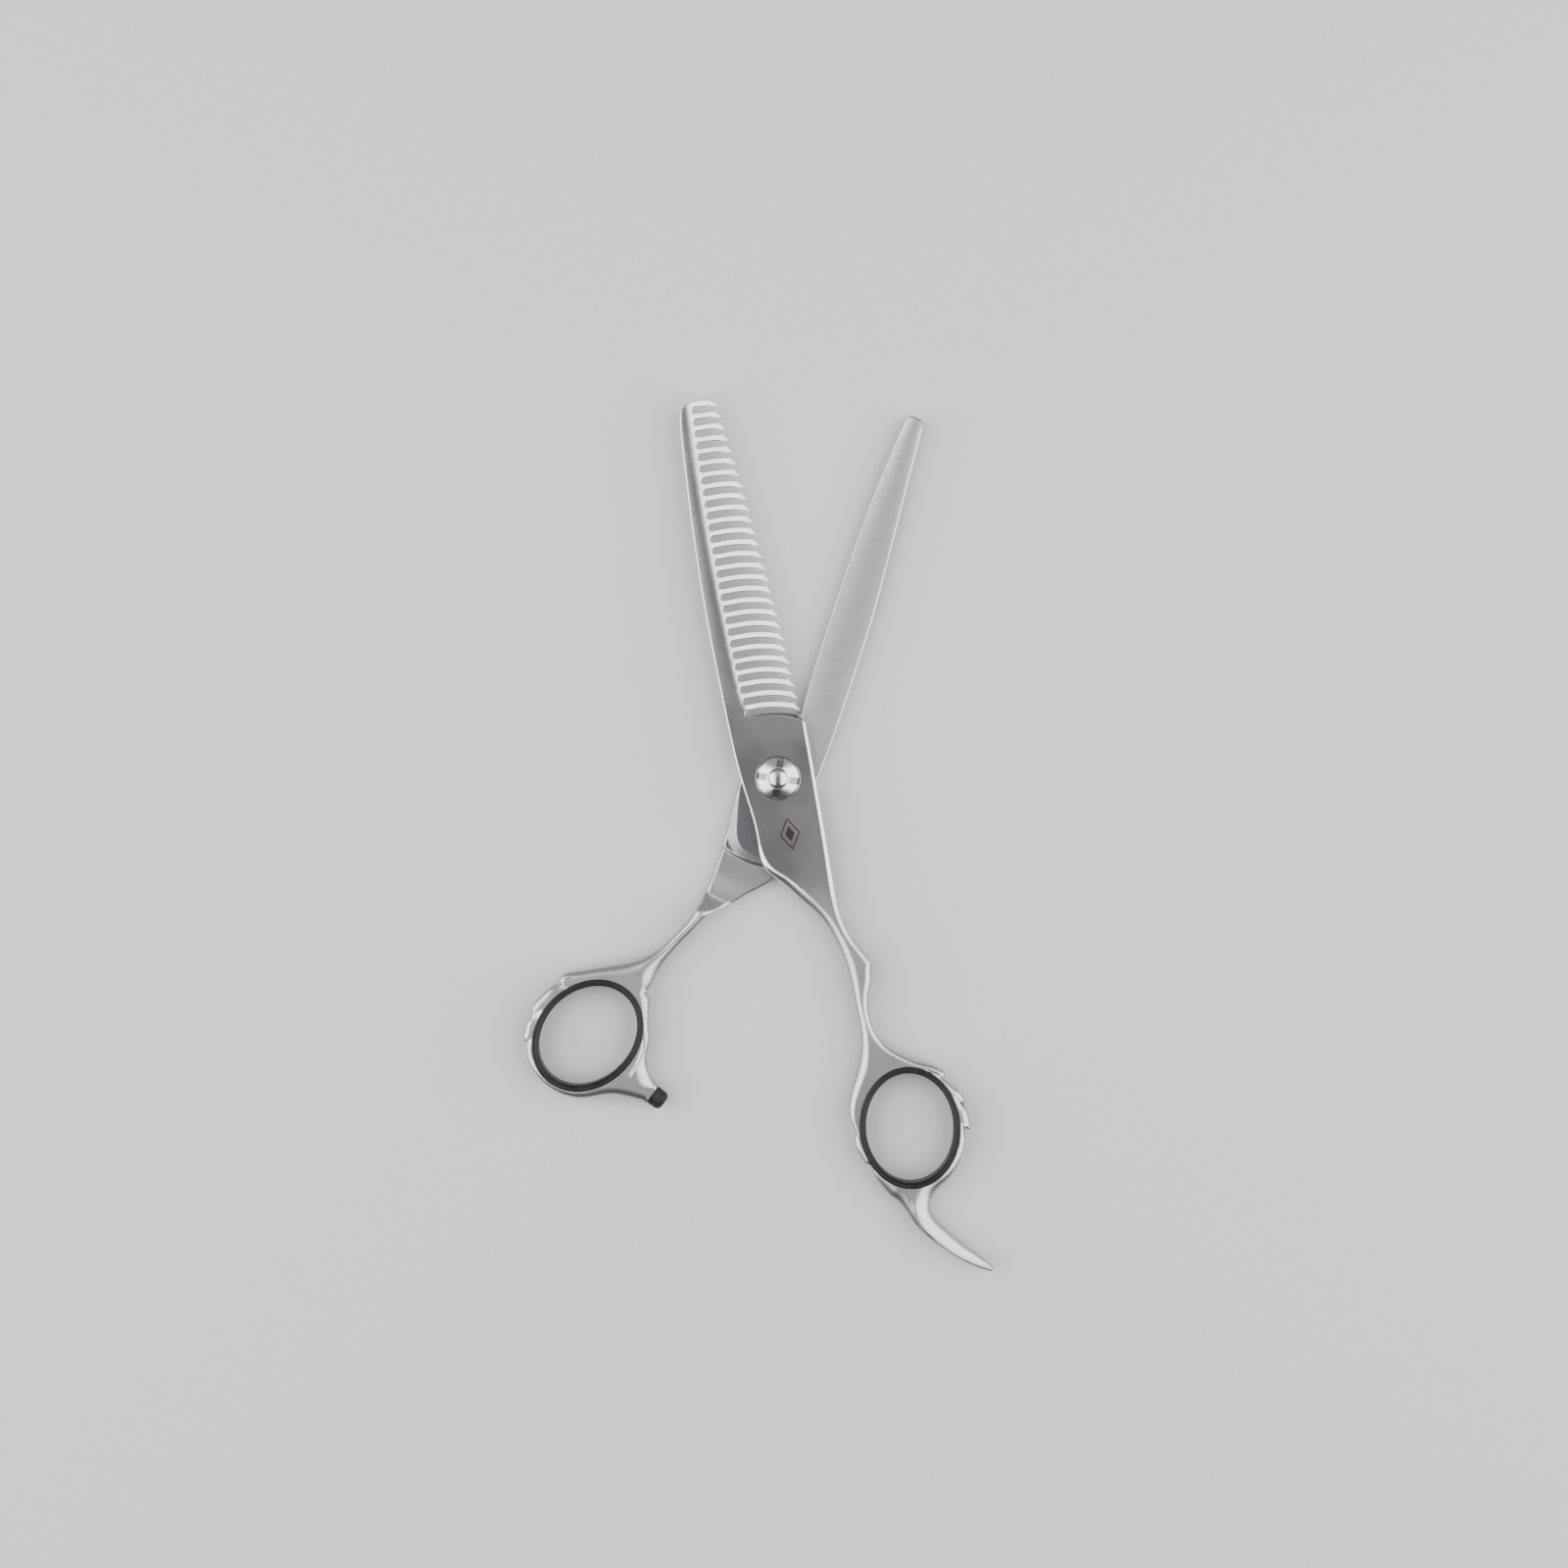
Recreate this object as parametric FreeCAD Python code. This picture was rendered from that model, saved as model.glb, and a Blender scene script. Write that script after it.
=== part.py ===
import FreeCAD, Part
import math
import os

# Thinning shears of the 6 inch pattern, lying on the head of the pivot stud, dial upwards.
# Millimetres. The origin is on the pivot axis at the underside of the stud head. +Z runs up
# the pivot axis to the dial, +Y runs along the comb blade to its tip. The comb half (comb
# blade, finger ring, tang) stays still. The plain half (plain blade, thumb ring, bumper) is
# drawn closed, and is then turned open about the pivot.

OPEN_ANGLE = 31.0          # how far the shears stand open, degrees

# Heights above the rest plane
PLAIN_OUTER = 0.4          # outside of the plain blade, and underside of both shanks
PLAIN_INNER = 2.75         # inside face of the plain blade
COMB_INNER = 2.85          # inside face of the comb blade
COMB_OUTER = 5.2           # outside of the comb blade, and top of both shanks
COMB_TIP_OUTER = 4.25      # the comb blade thins to this height at its tip
PLAIN_TIP_OUTER = 1.35     # the plain blade thins to this height at its tip
INSERT_LIP = 0.4           # thickness of the ring inserts' lips
TAPER_START = 14.0         # where both blades begin to thin, along Y
BLADE_LENGTH = 72.05       # pivot to tip

# Shanks and rings
SEAM_Y = -22.0             # weld between each blade and its handle
RELIEF_RADIUS = 24.6       # inside this the shanks pass over each other
RELIEF_FOOT = 29.0         # beyond this the shanks have their full thickness
RING_HALF_LONG = 10.9      # half the long axis of the oval hole in the steel
RING_HALF_SHORT = 8.95
LIP_OVERLAP = 0.45         # how far the insert's lips cover the steel
INSERT_HALF_LONG = 10.1
INSERT_HALF_SHORT = 8.2
FINGER_RING_CENTRE = (11.7, -68.3)
FINGER_RING_LEAN = 6.7     # lean of the long axis to the right of +Y, degrees
THUMB_RING_CENTRE = (-16.9, -56.9)
THUMB_RING_LEAN = 25.0

# Comb
SLOT_COUNT = 27
FIRST_SLOT_Y = 70.1
LAST_SLOT_Y = 12.95
SLOT_WIDTH = 1.2
SLOT_BEND_X = -1.5         # the slots run straight to here and then curve backwards
SLOT_BEND_RADIUS = 19.0
TOOTH_END_INSET = 1.2      # the slanting end of a tooth, across and along the blade
TOOTH_END_RISE = 1.7
COMB_EDGE = 0.65           # thickness left at the points of the teeth
COMB_SHOULDER_Y = 11.0     # the bevel of the comb ends at this shoulder
CUTTING_EDGE = 0.3         # thickness left at the plain cutting edge

# Pivot
STUD_HEAD_RADIUS = 4.2
STUD_HEAD_HEIGHT = 0.9
STUD_KEY_RADIUS = 2.6
STUD_KEY_FLATS = 4.0       # distance across the two flats
JOURNAL_RADIUS = 2.2
THREAD_RADIUS = 1.7
JOURNAL_TOP = 4.65
STUD_TOP = 6.15
COUNTERBORE_RADIUS = 4.1
COUNTERBORE_FLOOR = 3.8
RACE_THICKNESS = 0.2
BALL_RADIUS = 0.25
BALL_PITCH_RADIUS = 3.2
BALL_COUNT = 18
CAGE_THICKNESS = 0.2
UPPER_RACE_THICKNESS = 0.15
DIAL_UNDERSIDE = 4.95
DIAL_RADIUS = 3.9
DIAL_TOP = 5.9
DIAL_NOTCH_WIDTH = 1.25
DIAL_NOTCH_INNER = 2.15
DIAL_NOTCH_FLOOR = 5.1
DIAL_LEAN = 19.0           # lean of the notch pattern to the right of +Y, degrees
GLIDE_RADIUS = 5.0
GLIDE_THICKNESS = 0.24
FIT = 0.03                 # radial clearance of every running fit

# Bumper
BUMPER_RADIUS = 1.85
BUMPER_LENGTH = 2.95
STEM_RADIUS = 0.9
STEM_LENGTH = 1.6

# Outlines seen from above, closed, in the order that they run round each piece
COMB_SPINE = [(-0.9, -22.0), (-2.9, -19.4), (-4.7, -17.2), (-5.75, -15.2), (-5.8, -11.0),
              (-6.65, 0.0), (-7.3, 16.5), (-7.4, 29.0), (-6.95, 45.0), (-6.2, 57.2),
              (-5.0, 70.2)]
COMB_TIP = [(-5.0, 70.2), (-4.2, 71.45), (-2.6, 72.0), (-0.6, 72.0), (1.4, 71.5), (2.6, 70.0)]
COMB_POINTS = [(2.6, 70.0), (3.8, 60.8), (4.75, 51.8), (5.45, 42.8), (6.1, 33.8), (6.5, 25.0),
               (6.85, 14.0), (6.9, 5.0), (6.6, -10.0), (6.38, -22.0)]

FINGER_RIGHT = [(6.38, -22.0), (6.4, -25.0), (6.8, -28.0), (8.1, -32.3), (10.5, -36.9)]
FINGER_RING_OUTER = [(10.5, -36.9), (9.9, -40.0), (8.7, -43.2), (8.3, -46.5), (8.9, -50.2),
                     (10.6, -52.8), (14.3, -55.7), (19.8, -59.1), (22.4, -64.3), (22.6, -70.2),
                     (20.6, -75.4), (16.6, -79.4), (13.2, -82.1), (12.6, -84.7), (14.5, -88.0),
                     (18.3, -92.6), (21.9, -96.8)]
TANG_TIP = [(21.9, -96.8), (21.8, -97.35), (21.2, -97.5)]
TANG_LEFT = [(21.2, -97.5), (16.0, -93.9), (11.2, -89.0), (7.8, -83.3), (4.0, -77.4),
             (1.9, -73.0), (1.1, -67.8), (1.6, -61.8), (4.5, -55.5), (5.9, -50.4), (6.15, -44.5),
             (5.9, -37.0), (5.0, -32.3), (2.7, -26.7), (-0.9, -22.0)]

PLAIN_EDGE = [(-0.45, 71.4), (-1.1, 60.0), (-1.3, 48.0), (-1.1, 36.0), (-0.5, 20.0), (0.3, 10.0)]
PLAIN_HEEL = [(0.3, 10.0), (-1.6, 8.1), (-4.6, 6.3), (-6.4, 4.0), (-6.75, 0.0), (-6.2, -8.0),
              (-5.35, -15.0), (-5.25, -22.0)]
PLAIN_SPINE = [(1.35, -22.0), (3.0, -20.7), (5.3, -18.0), (6.4, -14.5), (6.8, -6.0), (7.1, 8.0),
               (6.9, 21.0), (6.45, 33.6), (5.2, 48.0), (3.9, 61.0), (2.9, 71.2)]
PLAIN_TIP = [(2.9, 71.2), (2.3, 71.95), (1.1, 72.05), (0.0, 71.95), (-0.45, 71.4)]

THUMB_LEFT = [(-5.25, -22.0), (-5.5, -25.5), (-6.5, -30.0), (-8.8, -34.6), (-11.9, -39.3),
              (-17.0, -43.2), (-23.0, -46.6), (-26.6, -50.8), (-28.3, -55.2), (-28.2, -60.2),
              (-25.9, -64.6), (-21.5, -67.8), (-16.5, -68.8), (-11.5, -67.1), (-6.0, -65.3),
              (-2.4, -64.95)]
THUMB_POST = [(-2.4, -64.95), (-1.32, -61.4)]
THUMB_RIGHT = [(-1.32, -61.4), (-3.6, -59.9), (-5.0, -58.0), (-6.0, -54.2), (-7.1, -50.2),
               (-8.7, -46.6), (-9.0, -43.0), (-7.9, -38.6), (-5.7, -33.2), (-4.1, -29.3),
               (-2.2, -26.8), (1.35, -22.0)]


def vec(x, y, z=0.0):
    return FreeCAD.Vector(x, y, z)


def curve(points):
    """A smooth edge through points of the plan."""
    spline = Part.BSplineCurve()
    spline.interpolate([vec(x, y) for x, y in points])
    return spline.toShape()


def straight(start, end):
    return Part.makeLine(vec(*start), vec(*end))


def slab(edges, low, high):
    """A plate between two heights whose plan is the closed outline made by edges."""
    face = Part.Face(Part.Wire(Part.sortEdges(edges)[0]))
    plate = face.extrude(vec(0, 0, high - low))
    plate.translate(vec(0, 0, low))
    return plate


def polygon_slab(points, low, high):
    corners = [vec(x, y) for x, y in points]
    face = Part.Face(Part.makePolygon(corners + corners[:1]))
    plate = face.extrude(vec(0, 0, high - low))
    plate.translate(vec(0, 0, low))
    return plate


def disc(radius, low, high, x=0.0, y=0.0):
    return Part.makeCylinder(radius, high - low, vec(x, y, low))


def washer(inner, outer, low, high):
    return disc(outer, low, high).cut(disc(inner, low - 1.0, high + 1.0))


def turned(profile):
    """A solid turned about the pivot axis from (radius, height) points."""
    corners = [vec(r, 0, z) for r, z in profile]
    face = Part.Face(Part.makePolygon(corners + corners[:1]))
    return face.revolve(vec(0, 0, 0), vec(0, 0, 1), 360)


def oval(centre, lean, half_long, half_short, low, high):
    """An upright oval column whose long axis leans to the right of +Y."""
    angle = math.radians(lean)
    middle = vec(*centre)
    long_end = middle + vec(math.sin(angle), math.cos(angle)) * half_long
    short_end = middle + vec(math.cos(angle), -math.sin(angle)) * half_short
    rim = Part.Ellipse(long_end, short_end, middle).toShape()
    return slab([rim], low, high)


def ruled(first, second):
    """A solid between two cross-sections, each a list of (x, y, z) corners."""
    wires = []
    for section in (first, second):
        corners = [vec(*corner) for corner in section]
        wires.append(Part.makePolygon(corners + corners[:1]))
    return Part.makeLoft(wires, True, True)


def long_wedge(profile):
    """A bar across the blade whose side view is a list of (y, z) corners."""
    corners = [vec(-12.0, y, z) for y, z in profile]
    face = Part.Face(Part.makePolygon(corners + corners[:1]))
    return face.extrude(vec(24.0, 0, 0))


def slot_drop(x):
    """How far a slot's centre line has fallen back by a given x."""
    reach = max(0.0, x - SLOT_BEND_X)
    return SLOT_BEND_RADIUS - math.sqrt(SLOT_BEND_RADIUS ** 2 - reach ** 2)


def slot_root_x(y):
    """Centre of a slot's round end: the roots follow a shallow curve down the spine."""
    along = (y - LAST_SLOT_Y) / (FIRST_SLOT_Y - LAST_SLOT_Y)
    return -3.1 - 3.24 * along * (1.0 - along) + 0.98 * along


def comb_edge_x(y):
    """Where the points of the teeth lie."""
    along = (y - LAST_SLOT_Y) / (FIRST_SLOT_Y - LAST_SLOT_Y)
    return 6.6 - 1.4 * along - 2.8 * along ** 2


def slot_cutter(slot_y):
    """One slot between two teeth, with the slanting end of the tooth below it."""
    half = SLOT_WIDTH / 2
    root = slot_root_x(slot_y)
    end = comb_edge_x(slot_y) + 1.5
    low, high = COMB_INNER - 1.0, COMB_OUTER + 1.0

    def side(offset):
        middle = (SLOT_BEND_X + end) / 2
        bend = [(x, slot_y + offset - slot_drop(x)) for x in (SLOT_BEND_X, middle, end)]
        arc = Part.Arc(*[vec(x, y) for x, y in bend]).toShape()
        return [straight((root, slot_y + offset), bend[0]), arc], bend[-1]

    upper, upper_end = side(half)
    lower, lower_end = side(-half)
    round_end = Part.Arc(vec(root, slot_y + half), vec(root - half, slot_y),
                         vec(root, slot_y - half)).toShape()
    slot = slab(upper + lower + [round_end, straight(upper_end, lower_end)], low, high)

    tip_x = comb_edge_x(slot_y)
    tip_y = slot_y + half - slot_drop(tip_x)
    beyond = tip_x + 1.5
    top_y = tip_y + TOOTH_END_RISE
    slant = polygon_slab([(tip_x, tip_y - half), (tip_x, tip_y),
                          (tip_x - TOOTH_END_INSET, top_y), (beyond, top_y),
                          (beyond, tip_y - SLOT_WIDTH)], low, high)
    return [slot, slant]


def comb_blank():
    """The whole comb half as a plate, still without its slots."""
    outline = [curve(COMB_SPINE), curve(COMB_TIP), curve(COMB_POINTS),
               straight(COMB_POINTS[-1], COMB_SPINE[0])]
    return slab(outline, COMB_INNER, COMB_OUTER)


def toothed_blade():
    blade = comb_blank()
    taper = long_wedge([(TAPER_START, COMB_OUTER), (BLADE_LENGTH, COMB_TIP_OUTER),
                        (BLADE_LENGTH + 1, COMB_OUTER + 1), (TAPER_START, COMB_OUTER + 1)])
    edge_z = COMB_INNER + COMB_EDGE
    root_section = [(slot_root_x(LAST_SLOT_Y), COMB_SHOULDER_Y, COMB_OUTER),
                    (8.0, COMB_SHOULDER_Y, edge_z), (8.0, COMB_SHOULDER_Y, COMB_OUTER + 1)]
    tip_section = [(slot_root_x(FIRST_SLOT_Y), 73.0, COMB_TIP_OUTER),
                   (5.0, 73.0, edge_z - 0.1), (5.0, 73.0, COMB_OUTER + 1)]
    blade = blade.cut([taper, ruled(root_section, tip_section)])
    pitch = (FIRST_SLOT_Y - LAST_SLOT_Y) / (SLOT_COUNT - 1)
    cutters = []
    for index in range(SLOT_COUNT):
        cutters += slot_cutter(FIRST_SLOT_Y - pitch * index)
    blade = blade.cut(cutters)
    pocket = disc(COUNTERBORE_RADIUS, COUNTERBORE_FLOOR, COMB_OUTER + 1)
    bore = disc(STUD_KEY_RADIUS, COMB_INNER - 1, COMB_OUTER)
    return blade.cut([pocket, bore])


def finger_handle():
    outline = [curve(FINGER_RIGHT), curve(FINGER_RING_OUTER), curve(TANG_TIP), curve(TANG_LEFT),
               straight(COMB_POINTS[-1], COMB_SPINE[0])]
    handle = slab(outline, PLAIN_OUTER, COMB_OUTER)
    relief = Part.makeCone(RELIEF_FOOT, RELIEF_RADIUS, COMB_INNER - PLAIN_OUTER,
                           vec(0, 0, PLAIN_OUTER))
    hole = oval(FINGER_RING_CENTRE, FINGER_RING_LEAN, RING_HALF_LONG, RING_HALF_SHORT,
                PLAIN_OUTER - 1, COMB_OUTER + 1)
    return handle.cut([relief, hole])


def plain_blade():
    outline = [curve(PLAIN_EDGE), curve(PLAIN_HEEL), curve(PLAIN_SPINE), curve(PLAIN_TIP),
               straight(PLAIN_HEEL[-1], PLAIN_SPINE[0])]
    blade = slab(outline, PLAIN_OUTER, PLAIN_INNER)
    taper = long_wedge([(TAPER_START, PLAIN_OUTER), (BLADE_LENGTH, PLAIN_TIP_OUTER),
                        (BLADE_LENGTH + 1, PLAIN_OUTER - 1), (TAPER_START, PLAIN_OUTER - 1)])
    edge_z = PLAIN_INNER - CUTTING_EDGE
    heel_section = [(4.2, 9.0, PLAIN_OUTER), (-2.2, 9.0, edge_z), (-2.2, 9.0, PLAIN_OUTER - 1)]
    tip_section = [(1.6, 73.0, PLAIN_TIP_OUTER), (-2.2, 73.0, edge_z),
                   (-2.2, 73.0, PLAIN_OUTER - 1)]
    glide_seat = disc(GLIDE_RADIUS + FIT, PLAIN_INNER - 0.15, PLAIN_INNER + 1)
    head_seat = disc(STUD_HEAD_RADIUS + FIT, PLAIN_OUTER - 1, STUD_HEAD_HEIGHT)
    return blade.cut([taper, ruled(heel_section, tip_section), glide_seat, head_seat,
                      stud_key(PLAIN_OUTER, PLAIN_INNER)])


def thumb_handle():
    outline = [curve(THUMB_LEFT), straight(*THUMB_POST), curve(THUMB_RIGHT),
               straight(PLAIN_HEEL[-1], PLAIN_SPINE[0])]
    handle = slab(outline, PLAIN_OUTER, COMB_OUTER)
    relief = Part.makeCone(RELIEF_RADIUS, RELIEF_FOOT, COMB_OUTER - PLAIN_INNER,
                           vec(0, 0, PLAIN_INNER))
    hole = oval(THUMB_RING_CENTRE, THUMB_RING_LEAN, RING_HALF_LONG, RING_HALF_SHORT,
                PLAIN_OUTER - 1, COMB_OUTER + 1)
    return handle.cut([relief, hole, bumper_stem()])


def bumper_direction():
    """Square to the end face of the thumb ring's post."""
    along = vec(*THUMB_POST[1]) - vec(*THUMB_POST[0])
    return vec(along.y, -along.x).normalize()


def bumper_base():
    middle = (vec(*THUMB_POST[0]) + vec(*THUMB_POST[1])) / 2
    return middle + vec(0, 0, (PLAIN_OUTER + COMB_OUTER) / 2)


def bumper_stem():
    start = bumper_base() - bumper_direction() * STEM_LENGTH
    return Part.makeCylinder(STEM_RADIUS, STEM_LENGTH, start, bumper_direction())


def bumper():
    body = Part.makeCylinder(BUMPER_RADIUS, BUMPER_LENGTH, bumper_base(), bumper_direction())
    far_end = bumper_base() + bumper_direction() * BUMPER_LENGTH
    rim = [edge for edge in body.Edges
           if edge.CenterOfMass.distanceToPoint(far_end) < 0.01]
    return body.makeFillet(1.1, rim).fuse(bumper_stem())


def ring_insert(centre, lean):
    """A soft liner with a lip over each face of the steel ring."""
    top = COMB_OUTER + INSERT_LIP
    sleeve = oval(centre, lean, RING_HALF_LONG, RING_HALF_SHORT, 0.0, top)
    lips = []
    for low, high in ((0.0, PLAIN_OUTER), (COMB_OUTER, top)):
        lips.append(oval(centre, lean, RING_HALF_LONG + LIP_OVERLAP,
                         RING_HALF_SHORT + LIP_OVERLAP, low, high))
    opening = oval(centre, lean, INSERT_HALF_LONG, INSERT_HALF_SHORT, -1.0, top + 1)
    return sleeve.fuse(lips).cut(opening).removeSplitter()


def stud_key(low, high):
    """The flatted part of the stud, which the plain blade turns with."""
    barrel = disc(STUD_KEY_RADIUS, low, high)
    size = 2 * STUD_KEY_RADIUS
    flats = Part.makeBox(size, STUD_KEY_FLATS, high - low,
                         vec(-size / 2, -STUD_KEY_FLATS / 2, low))
    return barrel.common(flats)


def pivot_stud():
    key_top = PLAIN_INNER - 0.15
    bevel = 0.15
    head = turned([(0, 0), (STUD_HEAD_RADIUS - bevel, 0), (STUD_HEAD_RADIUS, bevel),
                   (STUD_HEAD_RADIUS, STUD_HEAD_HEIGHT), (0, STUD_HEAD_HEIGHT)])
    shaft = turned([(0, key_top), (JOURNAL_RADIUS, key_top), (JOURNAL_RADIUS, JOURNAL_TOP),
                    (THREAD_RADIUS, JOURNAL_TOP), (THREAD_RADIUS, DIAL_TOP - 0.1),
                    (1.3, STUD_TOP - 0.1), (0.7, STUD_TOP), (0, STUD_TOP)])
    return head.fuse([stud_key(STUD_HEAD_HEIGHT, key_top), shaft]).removeSplitter()


def tension_dial():
    bore = THREAD_RADIUS + FIT
    dial = turned([(bore, DIAL_UNDERSIDE), (DIAL_RADIUS, DIAL_UNDERSIDE),
                   (DIAL_RADIUS, DIAL_UNDERSIDE + 0.25), (DIAL_RADIUS - 0.2, 5.32),
                   (2.1, DIAL_TOP), (1.95, DIAL_TOP), (bore, DIAL_TOP - 0.18)])
    notches = []
    for index in range(4):
        notch = Part.makeBox(DIAL_NOTCH_WIDTH, DIAL_RADIUS, 2.0,
                             vec(-DIAL_NOTCH_WIDTH / 2, DIAL_NOTCH_INNER, DIAL_NOTCH_FLOOR))
        notch.rotate(vec(0, 0, 0), vec(0, 0, 1), 90.0 * index - DIAL_LEAN)
        notches.append(notch)
    return dial.cut(notches)


def lower_race():
    return washer(2.4, COUNTERBORE_RADIUS - FIT, COUNTERBORE_FLOOR,
                  COUNTERBORE_FLOOR + RACE_THICKNESS)


def ball_height():
    return COUNTERBORE_FLOOR + RACE_THICKNESS + BALL_RADIUS


def ball_places():
    for index in range(BALL_COUNT):
        angle = 2 * math.pi * index / BALL_COUNT
        yield vec(BALL_PITCH_RADIUS * math.cos(angle), BALL_PITCH_RADIUS * math.sin(angle),
                  ball_height())


def bearing_balls():
    return Part.makeCompound([Part.makeSphere(BALL_RADIUS, place) for place in ball_places()])


def ball_cage():
    low = ball_height() - CAGE_THICKNESS / 2
    ring = washer(2.5, 3.9, low, low + CAGE_THICKNESS)
    pockets = [disc(BALL_RADIUS + FIT, low - 1, low + 1, place.x, place.y)
               for place in ball_places()]
    return ring.cut(pockets)


def upper_race():
    low = ball_height() + BALL_RADIUS
    return washer(JOURNAL_RADIUS + FIT, 3.95, low, low + UPPER_RACE_THICKNESS)


def spring_washer():
    low = ball_height() + BALL_RADIUS + UPPER_RACE_THICKNESS
    high = DIAL_UNDERSIDE - 0.01
    return turned([(1.8, high - 0.12), (3.7, low), (3.7, low + 0.12), (1.8, high)])


def pivot_bush():
    return washer(JOURNAL_RADIUS + FIT, STUD_KEY_RADIUS, COMB_INNER, COUNTERBORE_FLOOR)


def glide_washer():
    low = PLAIN_INNER - 0.15
    return washer(JOURNAL_RADIUS + FIT, GLIDE_RADIUS, low, low + GLIDE_THICKNESS)


COMB_HALF = {
    "toothed_blade": toothed_blade(),
    "finger_handle": finger_handle(),
    "finger_ring_insert": ring_insert(FINGER_RING_CENTRE, FINGER_RING_LEAN),
    "pivot_bush": pivot_bush(),
    "lower_race": lower_race(),
    "bearing_balls": bearing_balls(),
    "ball_cage": ball_cage(),
}
PLAIN_HALF = {
    "plain_blade": plain_blade(),
    "thumb_handle": thumb_handle(),
    "thumb_ring_insert": ring_insert(THUMB_RING_CENTRE, THUMB_RING_LEAN),
    "bumper": bumper(),
    "pivot_stud": pivot_stud(),
    "upper_race": upper_race(),
    "spring_washer": spring_washer(),
    "glide_washer": glide_washer(),
}

for shape in PLAIN_HALF.values():
    shape.rotate(vec(0, 0, 0), vec(0, 0, 1), -OPEN_ANGLE)

NODES = {**COMB_HALF, **PLAIN_HALF, "tension_dial": tension_dial()}

os.makedirs("parts", exist_ok=True)
for name, shape in NODES.items():
    shape.exportStep("parts/" + name + ".step")
    print(name, "valid" if shape.isValid() else "INVALID", len(shape.Solids), "solids",
          round(shape.Volume, 1), "mm3")
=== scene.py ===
import math

import bpy
import numpy as np
from mathutils import Matrix, Vector, geometry, kdtree


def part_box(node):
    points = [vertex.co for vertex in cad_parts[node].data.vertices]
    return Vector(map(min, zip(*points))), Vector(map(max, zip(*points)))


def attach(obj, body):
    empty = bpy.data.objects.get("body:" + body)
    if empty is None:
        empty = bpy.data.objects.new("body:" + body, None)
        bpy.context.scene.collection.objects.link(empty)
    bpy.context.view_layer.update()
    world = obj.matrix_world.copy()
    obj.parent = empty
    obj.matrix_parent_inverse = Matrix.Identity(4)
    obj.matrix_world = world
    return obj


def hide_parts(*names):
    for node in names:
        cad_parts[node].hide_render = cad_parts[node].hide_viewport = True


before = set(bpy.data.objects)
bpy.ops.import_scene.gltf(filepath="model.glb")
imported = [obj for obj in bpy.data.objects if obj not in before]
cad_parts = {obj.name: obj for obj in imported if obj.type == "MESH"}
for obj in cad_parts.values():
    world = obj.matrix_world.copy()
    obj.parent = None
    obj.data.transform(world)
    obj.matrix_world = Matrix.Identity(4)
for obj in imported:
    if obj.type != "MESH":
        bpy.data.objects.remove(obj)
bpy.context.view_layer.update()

# Shapes are worked out in millimetres in the frame's axes, closed, and become metres when a
# mesh is made. The plain half is drawn closed and then turned open with its body.

MM = 0.001
OPEN_ANGLE = math.radians(31.0)


def height_range(node):
    low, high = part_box(node)
    return low.z / MM, high.z / MM


COMB_LOW, COMB_HIGH = height_range("toothed_blade")
PLAIN_LOW, PLAIN_HIGH = height_range("plain_blade")
SHANK_LOW, SHANK_HIGH = height_range("finger_handle")
INSERT_LOW, INSERT_HIGH = height_range("finger_ring_insert")
STUD_HIGH = height_range("pivot_stud")[1]
DIAL_LOW, DIAL_HIGH = height_range("tension_dial")

# The blades thin towards their tips from TAPER_START on, and evenly past TAPER_FULL.
TAPER_START = 14.0
TAPER_FULL = 30.0
BLADE_TIP_Y = 72.0
COMB_TIP_DROP = 0.95
PLAIN_TIP_RISE = 0.95

# Round the pivot: the step from the blades to the thicker shanks, the stepped bores, and the
# shallow pocket past the plain half's ride.
RELIEF_RADIUS = 24.6
RELIEF_FOOT = 29.0
COUNTERBORE_RADIUS = 4.1
COUNTERBORE_FLOOR = 3.8
KEY_RADIUS = 2.6
GLIDE_SEAT_RADIUS = 5.03
GLIDE_SEAT_FLOOR = 2.6
HEAD_SEAT_RADIUS = 4.23
HEAD_SEAT_TOP = 0.9
POCKET_RADIUS = 16.4
POCKET_DEPTH = 0.3

# The dial, a cone with notches that have a sloping floor and are open to the counterbore past
# NOTCH_OPEN, and the stud's domed end in it.
NOTCH_COUNT = 4
NOTCH_WIDTH = 1.25
NOTCH_INNER = 2.0
NOTCH_FLOOR = 5.57
NOTCH_SLOPE = 14.0
NOTCH_OPEN = 3.45
CONE_SLOPE = 0.367
CONE_INNER = 2.2
THREAD_PITCH = 0.25
DOME_RADIUS = 4.7
DIAL_LEAN = 19.0

# The tang is drawn in from both faces between its root and its tip.
TANG_ROOT = (11.0, -85.0)
TANG_DRAW = 1.15
MARK_PLACE = (0.2, -10.5)
MARK_SIZE = (1.9, 3.1)

# The studio, and the camera, which looks straight down. Lengths here are in metres, apart from
# the width of the camera's sensor.
BOX_LEAN = math.radians(45.0)
BOX_DISTANCE = 0.9
BOX_SIZE = (0.98, 1.1)
BOX_POWER = 14.0
FLOOR_SIZE = 6.0
SKY_HORIZON = 0.16
SKY_ZENITH = 0.08
SKY_BACK = 0.34

VIEW_LEAN = math.radians(11.0)
VIEW_CENTRE = (0.9 * MM, -1.2 * MM)
VIEW_WIDTH = 290.9 * MM
CAMERA_HEIGHT = 0.75
SENSOR_WIDTH = 36.0

RING_HALF_LONG = 10.9
RING_HALF_SHORT = 8.95
LIP = 0.45
INSERT_WALL = 0.78
FINGER_RING = (11.7, -68.3, math.radians(6.7))
THUMB_RING = (-16.9, -56.9, math.radians(25.0))

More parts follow.
